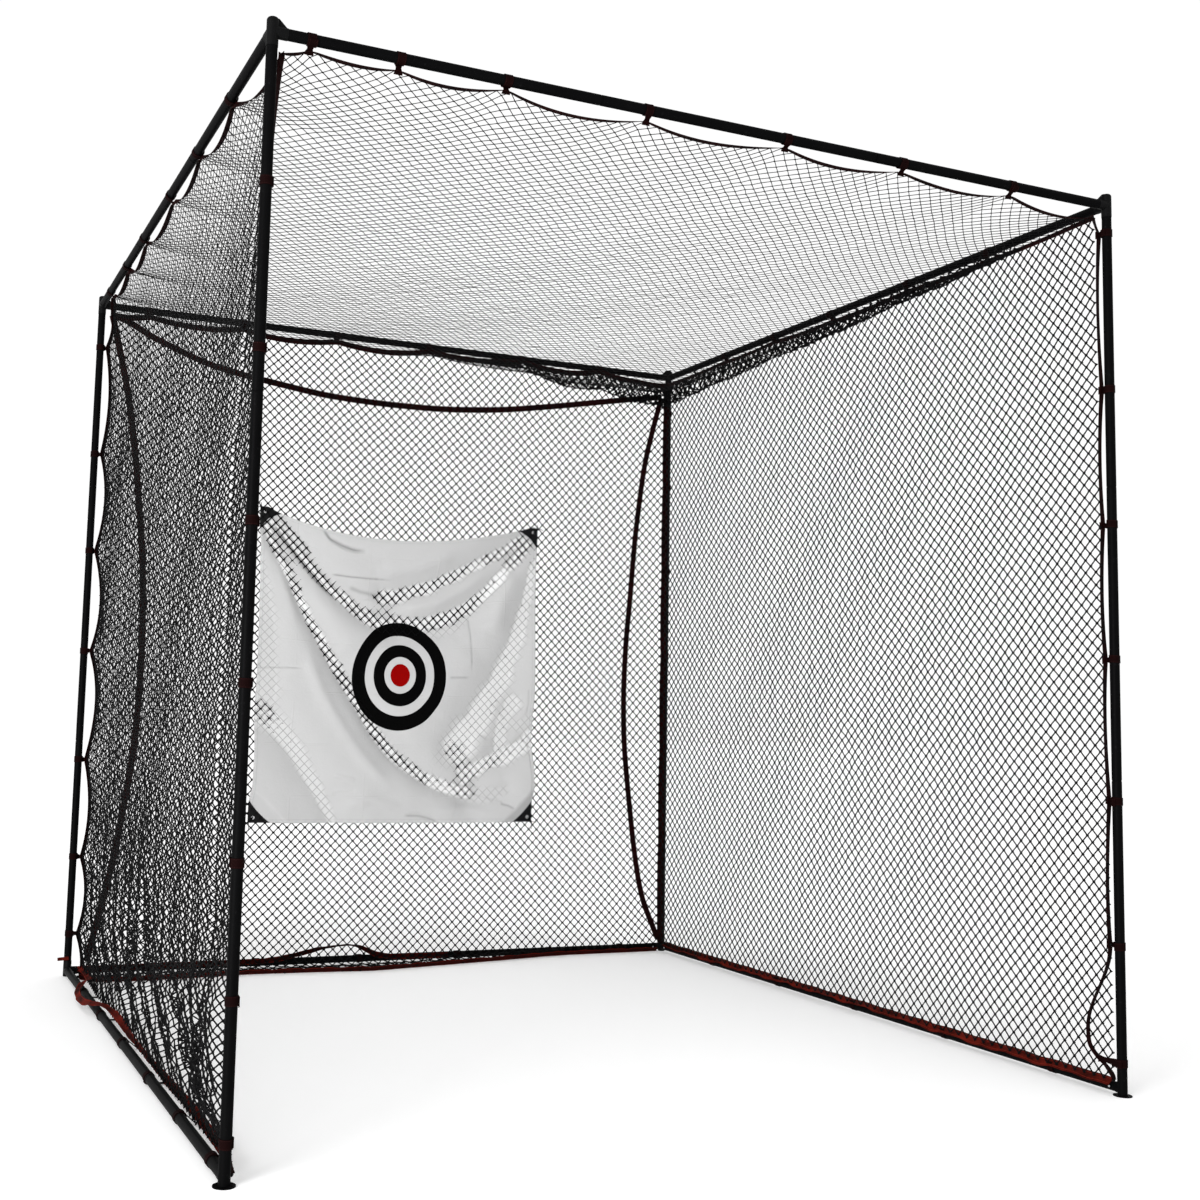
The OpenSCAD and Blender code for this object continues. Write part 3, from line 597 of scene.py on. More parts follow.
def net_piece(name, node, points, pairs, twine_r):
    """Strands as three-sided tubes between the knots, and a small double cone for each knot; twine_r is one
    radius, or one for each knot"""
    a, b = points[pairs[:, 0]], points[pairs[:, 1]]
    twine_r = np.broadcast_to(twine_r, len(points))
    sides = 3
    k = np.arange(sides)
    after = (k + 1) % sides

    def rings(centres, direction, radius):
        helper = np.where(np.abs(direction[:, 2:]) < 0.9, (0.0, 0.0, 1.0), (1.0, 0.0, 0.0))
        return centres[:, None] + radius[:, None, None] * rings_round(direction, helper, sides)

    along = unit(b - a)
    tubes = np.stack([rings(a, along, twine_r[pairs[:, 0]]), rings(b, along, twine_r[pairs[:, 1]])], 1)
    count = len(pairs)
    first = (np.arange(count) * 2 * sides)[:, None]
    quads = np.stack([first + k, first + after, first + sides + after, first + sides + k], -1).reshape(-1, 4)
    length = np.linalg.norm(b - a, axis=1)[:, None] + np.zeros((count, sides))
    thick = 2 * twine_r[pairs[:, :1]]
    wide = np.stack([k * thick, (k + 1) * thick, (k + 1) * thick, k * thick], -1)
    long = np.stack([0 * length, 0 * length, length, length], -1)
    strand_uv = np.stack([long, wide], -1).reshape(-1, 2)

    grain = np.zeros_like(points)
    for end in (0, 1):
        np.add.at(grain, pairs[:, end], b - a)
    grain = unit(grain + 1e-6)
    half_knot = KNOT_LEN * twine_r[:, None] * grain
    tips = np.stack([points - half_knot, points + half_knot], 1)
    knots = np.concatenate([rings(points, grain, KNOT_R * twine_r), tips], 1)
    base = count * 2 * sides + (np.arange(len(points)) * (sides + 2))[:, None]
    near = np.stack([base + after, base + k, base + sides + 0 * k], -1)
    far = np.stack([base + k, base + after, base + sides + 1 + 0 * k], -1)
    tris = np.concatenate([near, far], 1).reshape(-1, 3)
    knot = KNOT_LEN * twine_r.mean()
    knot_uv = np.tile(np.array([(0, 0), (knot, 0), (knot / 2, knot / 2)]), (len(tris), 1))
    points = np.concatenate([tubes.reshape(-1, 3), knots.reshape(-1, 3)])
    coords = np.concatenate([strand_uv, knot_uv])
    add_piece(name, "Twine", points, quads.tolist() + tris.tolist(), coords, "knotted_net", node)


def window(s, t, power=0.5):
    """One in the middle of a net, nought on its edges"""
    return (16 * s * (1 - s) * t * (1 - t)) ** power


def joined_nets(*parts):
    """Several nets as one: points, pairs and a radius for each knot"""
    base, points, pairs, radii = 0, [], [], []
    for p, q, radius in parts:
        used, q = np.unique(q, return_inverse=True)
        points.append(p[used])
        pairs.append(q.reshape(-1, 2) + base)
        radii.append(np.full(len(used), radius))
        base += len(used)
    return np.concatenate(points), np.concatenate(pairs), np.concatenate(radii)


# The back net's foot lies on the floor before its rail: share of the rail's length, and how far it reaches
APRON = marks((12, 110), (30, 190), (80, 212), (137, 208), (197, 192), (260, 176), (350, 193), (450, 224),
              (560, 166), (680, 102), (770, 45), (820, 32), (985, 28))
APRON_FROM = 0.022


def apron():
    """The part of the back net that lies on the floor, between the rail and its tape"""
    run = 0.79
    s, q, pairs = knots_and_strands(2 * round(run * CELLS), 10)
    share = 0.014 + run * s
    out = APRON_FROM + (np.interp(share, *APRON.T) - APRON_FROM) * q
    height = np.interp(out, (APRON_FROM, 0.060, 0.3), (0.030, 0.008, 0.008))
    points = np.stack([-HALF + SPAN * share, HALF - out, height], -1)
    rough = wave(s, q, (0.005, 23, 1.1, 0.2), (0.004, 51, 2.0, 0.7))
    points[:, 2] += np.maximum(-0.004, rough * np.minimum(1, 3 * q))
    points[:, :2] += jitter(len(s), 0.0035, 47)[:, :2] * np.minimum(1, 4 * q)[:, None]
    points[:, 2] = np.maximum(points[:, 2], LAID_Z)
    return points, pairs


def back_net():
    s, t, pairs = knots_and_strands(2 * CELLS, 2 * CELLS)
    points = spread("floor_back", "top_back", "back_left", "back_right", s, t)
    slack = wave(s, t, (0.005, 1.3, 0.7, 0.1), (0.003, 2.9, 1.8, 0.4), (0.002, 6.1, 4.3, 0.7))
    inside = window(s, t)
    held = smooth_step(np.abs(points[:, 0]), TARGET_W / 2 + 0.25, TARGET_W / 2)
    points[:, 1] += (0.006 + slack) * inside * (1 - held)
    points[:, 0] += wave(s, t, (0.003, 2.2, 3.1, 0.2)) * inside
    points += jitter(len(s), 0.0010, 41) * inside[:, None]
    net_piece("back_netting", "back_net", *joined_nets((points, pairs, TWINE_R), (*apron(), TWINE_R)))


def right_net():
    s, t, pairs = knots_and_strands(2 * CELLS, 2 * CELLS)
    front = Edge([0, 1], [(HALF - 0.016, -HALF + 0.017, CORNERS[end][2]) for end in ("BFR", "TFR")])
    points = spread("floor_right", "top_right", front, "back_right", s, t)
    slack = wave(s, t, (0.008, 0.8, 0.6, 0.3), (0.005, 2.1, 1.3, 0.1), (0.003, 5.2, 3.9, 0.5))
    inside = window(s, t)
    points[:, 0] += (slack + 0.002) * inside
    points[:, 2] += wave(s, t, (0.004, 1.7, 2.4, 0.6)) * inside
    points += jitter(len(s), 0.0012, 42) * inside[:, None]
    net_piece("right_netting", "right_net", points, pairs, TWINE_R)


# The left net's deep pleats: depth, breadth, and places from the floor up as shares of its length and height
CREASED = (
    (0.03, 0.009, marks((530, 0), (575, 35), (600, 60), (610, 85), (625, 160))),
    (0.022, 0.006, marks((570, 0), (640, 30), (680, 45), (700, 70))),
    (0.034, 0.009, marks((300, 0), (362, 39), (444, 81), (482, 103), (505, 190))),
    (0.024, 0.007, marks((200, 0), (263, 73), (295, 99), (300, 130))),
    (0.034, 0.011, marks((140, 0), (195, 31), (270, 60), (285, 80))),
    (0.018, 0.006, marks((200, 40), (168, 75), (147, 100), (118, 127), (100, 150))),
    (0.012, 0.005, marks((120, 640), (60, 880))),
)


def left_net():
    """Slack, so that its cells hang flatter: pleated near the floor, open beside the front post"""
    s, t, pairs = knots_and_strands(2 * CELLS, 2 * round(1.6 * CELLS))
    t = np.interp(t, (0, 0.90, 0.94, 1), (0, 0.865, 0.91, 1))
    points = spread("floor_left", "top_left", "front_left", "back_left", s, t, 20)
    low = bell(t * SPAN / 0.40)
    hem = 1
    for away, rate in ((t, 20), (1 - t, 14), (s, 20), (1 - s, 16)):
        hem = hem * np.minimum(1, rate * away)
    # The pleats lean towards the front post's foot as they near the floor
    lean = s - np.interp(t, (0, 0.05, 0.10, 1), (-0.20, -0.07, 0, 0.12))
    pleats = wave(lean, t, (0.007, 9.3, 1.2, 0.1), (0.006, 17.1, 2.3, 0.6), (0.004, 31.7, 3.1, 0.3))
    slack = wave(s, t, (0.006, 1.1, 0.9, 0.2), (0.002, 3.3, 2.2, 0.7))
    open_cells = 0.042 * smooth_step(s, 0.0, 0.045) * smooth_step(s, 0.24, 0.08)
    open_cells *= smooth_step(t, 0.01, 0.05) * smooth_step(t, 0.20, 0.12)
    creases = 0
    for depth, breadth, crease in CREASED:
        at = np.interp(t, crease[:, 1], crease[:, 0])
        ends = smooth_step(t, crease[-1, 1] + 0.02, crease[-1, 1] - 0.04)
        creases = creases + depth * ends * bell((s - at) / breadth)
    points[:, 0] += (pleats * (0.04 + low) + slack + creases) * hem - open_cells
    points[:, 1] += wave(lean, t, (0.004, 17.1, 2.3, 0.85)) * low * hem
    points += jitter(len(s), 1.0, 43) * (hem * (0.0013 + 0.0016 * low))[:, None]
    points[:, 2] = np.maximum(points[:, 2], LAID_Z)
    thick, thinner, thinnest = LEFT_TWINE_R
    twine_r = np.interp(t, (0.10, 0.35, 0.78, 0.96), (thick, thinner, thinner, thinnest))
    net_piece("left_netting", "left_net", points, pairs, twine_r)


def gathered_fold(edge, inward, depth, seed):
    """Loose netting hanging from a top edge in a crumpled fold, thickest at its lowest line"""
    s, q, pairs = knots_and_strands(2 * CELLS, 8)
    drop, reach = (np.interp(q, (0, 0.30, 0.50, 0.70, 1), sizes)[:, None]
                   for sizes in ((0, 0.72, 1.0, 0.96, 0.30), (0, 0.010, 0.022, 0.034, 0.060)))
    size = depth(s)[:, None]
    points = EDGES[edge](s) + np.array(inward) * reach
    points[:, 2:] -= drop * size
    ragged = jitter(len(s), 1.0, seed) * (0.002 + 0.055 * size) * np.minimum(1, 4 * q)[:, None]
    points += ragged * (1 - 0.75 * bell((q - 0.55) / 0.14))[:, None]
    kept = (size[:, 0] > 0.008)[pairs].all(1)
    return points, pairs[kept], FOLD_TWINE_R


def top_net():
    s, t, pairs = knots_and_strands(2 * CELLS, 2 * CELLS)
    points = spread("top_front", "top_back", "top_left", "top_right", s, t, 20)
    # A belly hangs close inside the back right corner: down at once beside the rails, then level
    belly = 0.085 * smooth_step(s, 0.35, 0.95) * smooth_step(t, 0.10, 0.95)
    size = belly + 0.004
    right, back = np.exp(-(1 - s) * SPAN / size), np.exp(-(1 - t) * SPAN / size)
    points[:, 2] -= belly * (1 - right) * (1 - back)
    points[:, 0] += 0.8 * belly * (1 - right) * s
    points[:, 1] += 0.8 * belly * (1 - back) * t
    inside = window(s, t)
    slack = wave(s, t, (0.004, 1.4, 1.1, 0.15), (0.002, 3.7, 2.9, 0.55))
    points[:, 2] -= 0.055 * window(s, t, 0.75) + slack * inside
    points[:, 0] += wave(s, t, (0.006, 1.3, 0.8, 0.25), (0.003, 3.1, 2.3, 0.6)) * inside
    points += jitter(len(s), 0.0014, 44) * inside[:, None]
    net_piece("top_netting", "top_net", *joined_nets(
        (points, pairs, TOP_TWINE_R),
        gathered_fold("top_right", (-1, 0, 0), lambda x: 0.120 * np.maximum(0, (x - 0.10) / 0.9) ** 0.75, 45),
        gathered_fold("top_back", (0, -1, 0), lambda x: 0.110 * smooth_step(x, 0.55, 0.93), 46)))


# ---- Tapes -------------------------------------------------------------------------------------------

def square_to(along, wide):
    """Directions turned square to a line's own"""
    wide = unit(wide)
    return unit(wide - along * np.sum(wide * along, -1, keepdims=True))


def ribbon(points, wide, width, thick=TAPE_T):
    """A flat tape with thicker selvedges along points; wide is its direction across"""
    width = np.broadcast_to(width, len(points))
    along = unit(np.gradient(points, axis=0))
    wide = square_to(along, wide)
    proud = np.cross(along, wide)
    upper = [(-0.93, 0.5), (-0.80, 0.42), (0, 0.34), (0.80, 0.42), (0.93, 0.5)]
    section = [(-1, 0), *upper, (1, 0), *((w, -h) for w, h in reversed(upper))]
    rings = np.stack([points + wide * (w / 2 * width)[:, None] + proud * (h * thick) for w, h in section], 1)
    length = np.cumsum([0, *np.linalg.norm(np.diff(points, axis=0), axis=1)])
    across = [w for w, h in section]
    flat = np.stack([np.outer(length, np.ones(len(section))), np.outer(width / 2, across)], -1)
    return skin(rings, flat)


def edge_tape(name, wide, at_cusp, between, seed, width=TAPE_W, count=300):
    """A tape along an edge: wide is its direction across, turned about its own line by one angle at straps
    and by another between them, in degrees"""
    shares = np.linspace(0, 1, count)
    points = smoothed((SLACK_EDGE if name == "front_right" else EDGES[name])(shares))
    along = unit(np.gradient(points, axis=0))
    wide = square_to(along, wide)
    stops = np.array([0.0, *CUSPS[name], 1.0])
    vary = np.random.default_rng(seed).uniform(0.7, 1.3, len(stops))
    bay = np.clip(np.searchsorted(stops, shares, "right") - 1, 0, len(stops) - 2)
    bent = bump((shares - stops[bay]) / (stops[bay + 1] - stops[bay])) ** 0.7
    roll = np.radians(at_cusp + (between * vary[bay] - at_cusp) * bent)[:, None]
    return ribbon(points, wide * np.cos(roll) + np.cross(along, wide) * np.sin(roll), width)


def front_right_slack(share):
    """The tape stands off the front right post above its foot"""
    hump = float(smooth_step(share, 0.147, 0.055) * smooth_step(share, 0.004, 0.044))
    return -0.012 * hump, 0.088 * hump, 0


SLACK_EDGE = EDGES["front_right"].moved(front_right_slack)
FRONT_TAPE_W = 0.024
# For each piece: the CAD tape in whose place it stands, and what edge_tape needs for each of its runs
UPPER_TAPES = {
    "front_edge_webbing": ("front_edge_tape", ("top_front", (0, 0.98, 0.19), 14, -6, 21, FRONT_TAPE_W)),
    "left_upper_webbing": ("left_border_tape", ("top_left", (0.6, 0, 1), 0, 24, 22),
                           ("front_left", (0.8, 0.6, 0), 0, 25, 23)),
    "right_upper_webbing": ("right_border_tape", ("top_right", (0.4, 0, 1), 0, 10, 24),
                            ("front_right", (1, 0.22, 0), -6, 8, 25, FRONT_TAPE_W, 420)),
    "back_upper_webbing": ("back_border_tape", ("top_back", (0, 0.3, 1), 0, 18, 26),
                           ("back_left", (0.8, 0.6, 0), 0, 22, 27),
                           ("back_right", (0.7, -0.7, 0), 0, 15, 28)),
}


def upper_tapes():
    for name, (node, *runs) in UPPER_TAPES.items():
        add_piece(name, "Tape", *joined([edge_tape(*run) for run in runs]), "border_webbing", node)


def rail_drape():
    """The right side's floor tape, laid over the top of its rail"""
    phase = np.random.default_rng(31).uniform(0, 1, 3)
    rail, inward, up = tube_line("floor_right"), np.array((-1, 0, 0)), np.array((0, 0, 1))
    points, wide = [], []
    for share in np.linspace(0.012, 0.985, 460):
        turn = 34 + 8 * math.sin(9 * share) + wave(share, 0, (7, 11, 0, phase[0]), (4, 27, 0, phase[1]))
        away = 0.0005 + 0.0015 * (1 + wave(share, 0, (1, 17, 0, phase[2])))
        a = math.radians(turn)
        points.append(rail(share) + (inward * math.sin(a) + up * math.cos(a)) * (TUBE_R + TAPE_T + away))
        wide.append(inward * math.cos(a) - up * math.sin(a))
    return ribbon(smoothed(points, 1), np.array(wide), 0.036)


# Tapes on the floor: share of the rail's length, distance inside its centre line, height, and the slope of
# the tape's width in degrees
BACK_FLOOR_TAPE = [(share, reach + 0.005, 0.013, 62) for share, reach in APRON]
BACK_RAIL_TAPE = (
    (0.014, 0.0185, 0.031, 88), (0.29, 0.0185, 0.032, 86), (0.32, 0.018, 0.04, 80), (0.355, 0.014, 0.06, 70),
    (0.385, 0.008, 0.078, 50), (0.415, 0.002, 0.087, 25), (0.432, 0.0, 0.089, 15), (0.448, 0.004, 0.082, 40),
    (0.46, 0.01, 0.066, 65), (0.475, 0.016, 0.044, 80), (0.50, 0.0185, 0.030, 86), (0.60, 0.0185, 0.026, 80),
)
LEFT_FLOOR_TAPE = (
    (0.040, 0.030, 0.022, 60), (0.055, 0.046, 0.017, 50), (0.07, 0.054, 0.014, 35), (0.14, 0.060, 0.013, 48),
    (0.19, 0.064, 0.014, 30), (0.235, 0.066, 0.014, 22), (0.28, 0.062, 0.013, 35), (0.34, 0.057, 0.013, 52),
    (0.40, 0.053, 0.016, 85), (0.50, 0.050, 0.018, 95), (0.555, 0.048, 0.022, 80), (0.60, 0.047, 0.030, 35),
    (0.645, 0.036, 0.046, 15), (0.675, 0.01, 0.06, 0), (0.70, -0.020, 0.053, 25), (0.735, -0.038, 0.038, 55),
    (0.78, -0.041, 0.032, 48), (0.815, -0.032, 0.042, 35), (0.838, 0.0, 0.062, 5), (0.862, 0.032, 0.054, 15),
    (0.90, 0.050, 0.040, 35), (0.95, 0.058, 0.036, 40), (0.985, 0.050, 0.040, 45),
)


def laid_tape(name, inward, places, width):
    """A tape along a floor rail through places beside it"""
    rail, places = tube_line(name), np.array(places)
    shares = np.linspace(places[0, 0], places[-1, 0], 420)
    beside, height, slope = (smoothed(np.interp(shares, places[:, 0], places[:, k]), 8) for k in (1, 2, 3))
    slope = np.radians(slope + wave(shares, 0, (6, 19, 0, 0.2), (4, 41, 0, 0.7)))[:, None]
    points = np.array([rail(share) for share in shares]) + beside[:, None] * inward
    points[:, 2] = np.maximum(height, 0.5 * width * np.abs(np.sin(slope[:, 0])) + 0.003)
    return ribbon(points, inward * np.cos(slope) + np.array((0, 0, 1)) * np.sin(slope), width)


def floor_tapes():
    back_tapes = (BACK_FLOOR_TAPE, BACK_RAIL_TAPE)
    back = [laid_tape("floor_back", (0, -1, 0), places, 0.026) for places in back_tapes]
    left = laid_tape("floor_left", (1, 0, 0), LEFT_FLOOR_TAPE, 0.028)
    k = np.linspace(0.64, 1.2, 14)
    tail = CORNERS["BBL"] + np.stack([-0.085 * k, 0.012 * k, 0.066 - 0.004 * k * k], -1)
    parts = [rail_drape(), *back, left, ribbon(tail, (0, 0.5, 0.8), 0.016)]
    add_piece("floor_webbing", "Tape", *joined(parts), "floor_webbing", slot="border_webbing")


# Reinforcing tapes on the back net: places across from its left edge and down from the top rails
ARCS = (
    marks((43, 47), (117, 66), (216, 120), (354, 174), (498, 224), (653, 254), (783, 272), (1076, 311),
         (1380, 321), (1694, 315), (2018, 283), (2350, 225), (2678, 161), (2945, 114)),
    marks((45, 49), (70, 143), (105, 280), (144, 459), (171, 620), (197, 821), (220, 1020), (237, 1180),
         (248, 1378), (254, 1578), (250, 1815), (240, 2012), (220, 2187), (201, 2322), (169, 2534),
         (139, 2686), (108, 2818), (78, 2960)),
    marks((2942, 125), (2895, 293), (2861, 426), (2836, 558), (2801, 839), (2786, 1010), (2771, 1222),
         (2751, 1432), (2741, 1693), (2748, 1952), (2771, 2157), (2811, 2464), (2843, 2648), (2875, 2770),
         (2924, 2873), (2962, 2956)),
)


def arc_tapes():
    """Three reinforcing tapes sewn to the back net's inner face"""
    parts = []
    for places in ARCS:
        across, down = smooth_line(places, 130, 12).T
        points = np.stack([across - HALF, np.full(len(across), TARGET_BACK + 0.003), TOP - down], -1)
        parts.append(ribbon(points, np.cross(np.gradient(points, axis=0), (0, 1, 0)), 0.030))
    add_piece("back_arc_webbing", "Tape", *joined(parts), "border_webbing", "back_arc_tapes")


# ---- Straps ------------------------------------------------------------------------------------------

def strap(centre, axis, tape, tilt, turns_from):
    """One strap: from the tape to the tube, once round it and over itself"""
    to_tape = tape - centre
    to_tape -= axis * np.dot(to_tape, axis)
    r = TUBE_R + 0.6 * STRAP_T
    far = max(np.linalg.norm(to_tape), r * 1.12)
    x = unit(to_tape)
    y = np.cross(axis, x) * turns_from
    start = math.acos(min(1.0, r / far))
    knee = np.array((r * math.cos(start), r * math.sin(start)))
    tip = np.array((far + 0.003, 0.0))
    spare = (0.009, 0.002) if far < 0.045 else (0.002, 0.001)
    places = [tip + spare] + [tip + (knee - tip) * k / 5 for k in range(5)]
    for k in range(31):
        turn = start + math.radians(405) * k / 30
        lap = r + STRAP_T * 1.15 * float(smooth_step(math.degrees(turn - start), 290, 335))
        places.append((lap * math.cos(turn), lap * math.sin(turn)))
    width = [1.05, 0.95, 0.72, 0.66, 0.8, 0.95] + 31 * [1.0]
    points = np.array([centre + x * px + y * py for px, py in places])
    points[:, 2] = np.maximum(points[:, 2], 0.8 * STRAP_T)
    slant = np.linspace(-1, 1, len(points))[:, None] * axis * tilt
    return ribbon(points + slant, axis, STRAP_W * np.array(width), STRAP_T)


def straps():
    random = np.random.default_rng(5)
    parts = []
    for name, (axis, _) in TUBES.items():
        for share in CUSPS[name]:
            tape = EDGES[name](share)
            if name == "front_right":
                tape += front_right_slack(share)
            parts.append(strap(tube_line(name)(share), np.eye(3)[axis], tape, random.uniform(-0.004, 0.004),
                               random.choice((-1, 1))))
    add_piece("frame_straps", "Tape", *joined(parts), "hook_and_loop", "hook_and_loop_straps")


# ---- Target ------------------------------------------------------------------------------------------

# Lines along which the hung sheet lies against the net: the half widths of the contact at its ends, the
# rise on the right and on the left of the line in metres, how plainly the net shows through, and places as
# shares of the sheet's width and height from its lower left corner
CONTACTS = (
    ((0.014, 0.034), 0.05, 0.095, 1.0, marks((42, 950), (90, 911), (139, 855), (185, 805), (234, 759),
         (287, 719), (336, 682), (386, 655), (435, 638), (485, 637))),
    ((0.018, 0.032), 0.045, 0.085, 1.0, marks((19, 939), (47, 885), (79, 824), (115, 758), (144, 704),
         (175, 650), (211, 594), (250, 531), (285, 474), (327, 418), (369, 358), (419, 282), (468, 229),
         (518, 194), (567, 160), (617, 131), (671, 116), (750, 97))),
    ((0.022, 0.034), 0.07, 0.045, 0.95, marks((945, 960), (883, 920), (821, 887), (756, 851), (700, 823),
         (644, 795), (589, 768), (534, 754), (491, 738), (430, 728))),
    ((0.022, 0.038), 0.08, 0.055, 1.0, marks((968, 944), (925, 894), (882, 846), (832, 793), (786, 745),
         (737, 708), (681, 681), (626, 658), (571, 645), (521, 642), (478, 640))),
    ((0.04, 0.024), 0.06, 0.06, 0.45, marks((564, 628), (630, 631), (689, 648), (733, 677))),
    ((0.018, 0.085), 0.08, 0.07, 0.85, marks((987, 881), (974, 809), (954, 714), (930, 632), (902, 556),
         (871, 490), (837, 424), (799, 363), (754, 299), (710, 242))),
    ((0.045, 0.03), 0.05, 0.05, 0.8, marks((912, 393), (885, 345), (873, 285), (869, 232))),
    ((0.03, 0.046), 0.06, 0.04, 0.95, marks((743, 135), (754, 161), (802, 182), (853, 205), (910, 226),
         (955, 253), (986, 277))),
    ((0.038, 0.026), 0.04, 0.04, 0.9, marks((714, 226), (732, 187), (743, 135))),
    ((0.04, 0.02), 0.05, 0.05, 0.45, marks((754, 93), (808, 87), (864, 94), (893, 107))),
    ((0.03, 0.03), 0.05, 0.05, 0.5, marks((990, 345), (955, 320), (915, 325))),
    ((0.056, 0.02), 0.07, 0.07, 0.75, marks((-4, 354), (35, 336), (79, 303), (112, 266), (143, 226),
         (171, 183), (198, 140), (226, 97), (253, 51), (278, -1))),
    ((0.03, 0.06), 0.06, 0.06, 0.55, marks((-4, 828), (12, 748), (28, 668), (37, 588), (39, 509), (42, 430),
         (35, 352))),
    ((0.01, 0.014), 0.018, 0.018, 0.85, marks((66, 946), (97, 925), (128, 897), (156, 866))),
)
# Pulled folds that stand proud of the sheet, or back from it: height and half width in metres, and places
RIDGES = (
    (0.014, 0.034, marks((153, 588), (183, 499), (218, 420), (260, 348), (309, 280), (365, 211), (428, 152),
         (498, 99))),
    (0.008, 0.03, marks((60, 860), (95, 740), (135, 620))),
    (0.01, 0.06, marks((150, 760), (215, 680), (285, 600), (330, 520))),
    (0.008, 0.04, marks((400, 800), (550, 835), (700, 885))),
    (0.01, 0.034, marks((460, 685), (600, 710), (720, 775), (840, 870))),
    (0.014, 0.055, marks((830, 620), (850, 740), (910, 860))),
    (0.012, 0.08, marks((600, 360), (680, 460), (760, 580))),
    (0.01, 0.035, marks((805, 290), (790, 250), (785, 225))),
    (-0.008, 0.01, marks((216, 933), (245, 903), (282, 884), (330, 874), (368, 875))),
    (0.005, 0.01, marks((265, 150), (315, 141), (349, 135))),
    (-0.005, 0.01, marks((273, 88), (316, 95), (353, 101))),
    (0.007, 0.022, marks((300, 40), (400, 75), (520, 45))),
    (-0.006, 0.01, marks((519, 26), (568, 26), (610, 16), (653, 0))),
    (0.006, 0.022, marks((620, 30), (740, 50), (840, 30))),
    (-0.005, 0.01, marks((874, 66), (904, 58), (930, 44))),
)
# Sharp creases: half width in metres, how dark the fold's own shade is, and places
CREASES = (
    (0.006, 0.75, marks((38, 953), (66, 922), (94, 888), (129, 848), (161, 810), (193, 776), (235, 736),
         (280, 702))),
    (0.006, 0.55, marks((206, 940), (234, 909), (277, 889), (319, 877), (368, 875))),
    (0.004, 0.45, marks((244, 796), (303, 790), (373, 788), (469, 787))),
    (0.009, 0.3, marks((307, 757), (349, 743), (399, 736), (450, 722))),
    (0.005, 0.3, marks((30, 925), (60, 880), (85, 850))),
    (0.004, 0.32, marks((741, 684), (748, 590), (751, 482))),
    (0.005, 0.28, marks((667, 475), (747, 478))),
    (0.003, 0.32, marks((0, 486), (166, 489))),
    (0.004, 0.35, marks((519, 23), (568, 23), (610, 15), (653, -3))),
    (0.005, 0.3, marks((874, 61), (904, 55), (930, 42))),
    (0.003, 0.25, marks((970, 449), (972, 395), (966, 354))),
    (0.003, 0.3, marks((975, 294), (982, 227), (988, 134), (983, 78))),
)
TARGET_COLS, TARGET_ROWS = 260, 270
TOP_SAG = 0.120
STAND_OFF = 0.044
CLOTH_T = 0.0012
CLOTH_GAP = 0.0018
CREASE_DEPTH = 0.006


def line_distance(u, v, places):
    """Distance in metres to a smooth line through places, the side it is on, and the share along it"""
    count = 90
    knots = smooth_line(places, count, 10) * (TARGET_W, TARGET_H)
    gap = np.stack([u * TARGET_W, v * TARGET_H], -1)[:, None] - knots
    near = np.argmin(np.sum(gap * gap, -1), 1)
    along = np.gradient(knots, axis=0)[near]
    away = gap[np.arange(len(u)), near]
    side = np.sign(along[:, 0] * away[:, 1] - along[:, 1] * away[:, 0])
    return np.linalg.norm(away, axis=-1), side, near / (count - 1)


def sheet_relief(u, v):
    """Over shares of the sheet's flat frame: how far it stands forward of the net, how firmly it lies on it,
    and how shaded it is by its own sharp creases"""
    forward, touch, shade = np.ones(len(u)), np.zeros(len(u)), np.zeros(len(u))
    for (start, end), right, left, plain, places in CONTACTS:
        away, side, along = line_distance(u, v, places)
        half = start + (end - start) * along
        rise = np.where(side > 0, left, right)
        held = 0.25 + 0.75 * plain
        forward = forward * (1 - held * np.exp(-(np.maximum(0, away - 0.7 * half) / rise) ** 1.3))
        ragged = 1 + wave(u, v, (0.12, 7, 4, 0.1), (0.08, 5, 13, 0.4))
        touch = np.maximum(touch, plain * smooth_step(away, 1.55 * half * ragged, 0.60 * half * ragged))
    forward = STAND_OFF * forward
    for height, half, places in RIDGES:
        away, _, along = line_distance(u, v, places)
        ends = smooth_step(along, 0, 0.2) * smooth_step(along, 1, 0.8)
        forward = forward + height * ends * bell(away / half)
    for half, dark, places in CREASES:
        away, _, along = line_distance(u, v, places)
        ends = smooth_step(along, 0, 0.12) * smooth_step(along, 1, 0.75)
        shade = np.maximum(shade, dark * ends * bell(away / half))
        forward = forward - CREASE_DEPTH * dark * ends * bell(away / (1.6 * half))
    corner = np.minimum(u, 1 - u) * TARGET_W + np.minimum(v, 1 - v) * TARGET_H
    level = smooth_step(corner, 0.080, 0.190)
    ripple = wave(u, v, (0.003, 3.1, 0.6, 0.2), (0.002, 6.7, 1.1, 0.6)) * smooth_step(v, 0.25, 0.0)
    return np.maximum(0, forward + ripple) * level, touch * smooth_step(corner, 0.09, 0.12), shade


def sheet_place(u, v):
    """The hung sheet's points for shares of the flat cloth, how firmly they touch the net, and their shade"""
    between = np.clip((u - 0.028) / 0.944, 0, 1)
    sag = TOP_SAG * bump(between) ** 0.9 * (1 + 0.20 * (1 - 2 * between)) * v ** 3
    corner = np.minimum(u, 1 - u) + np.minimum(v, 1 - v)
    drawn = 0.048 * v * (1 - v) * smooth_step(corner, 0.03, 0.12) * (2 * u - 1)
    x = TARGET_LOW.x + u * TARGET_W - drawn
    z = TARGET_LOW.z + v * TARGET_H - sag
    forward, touch, shade = sheet_relief((x - TARGET_LOW.x) / TARGET_W, (z - TARGET_LOW.z) / TARGET_H)
    return np.stack([x, TARGET_BACK - CLOTH_GAP - CLOTH_T - forward, z], -1), touch, shade


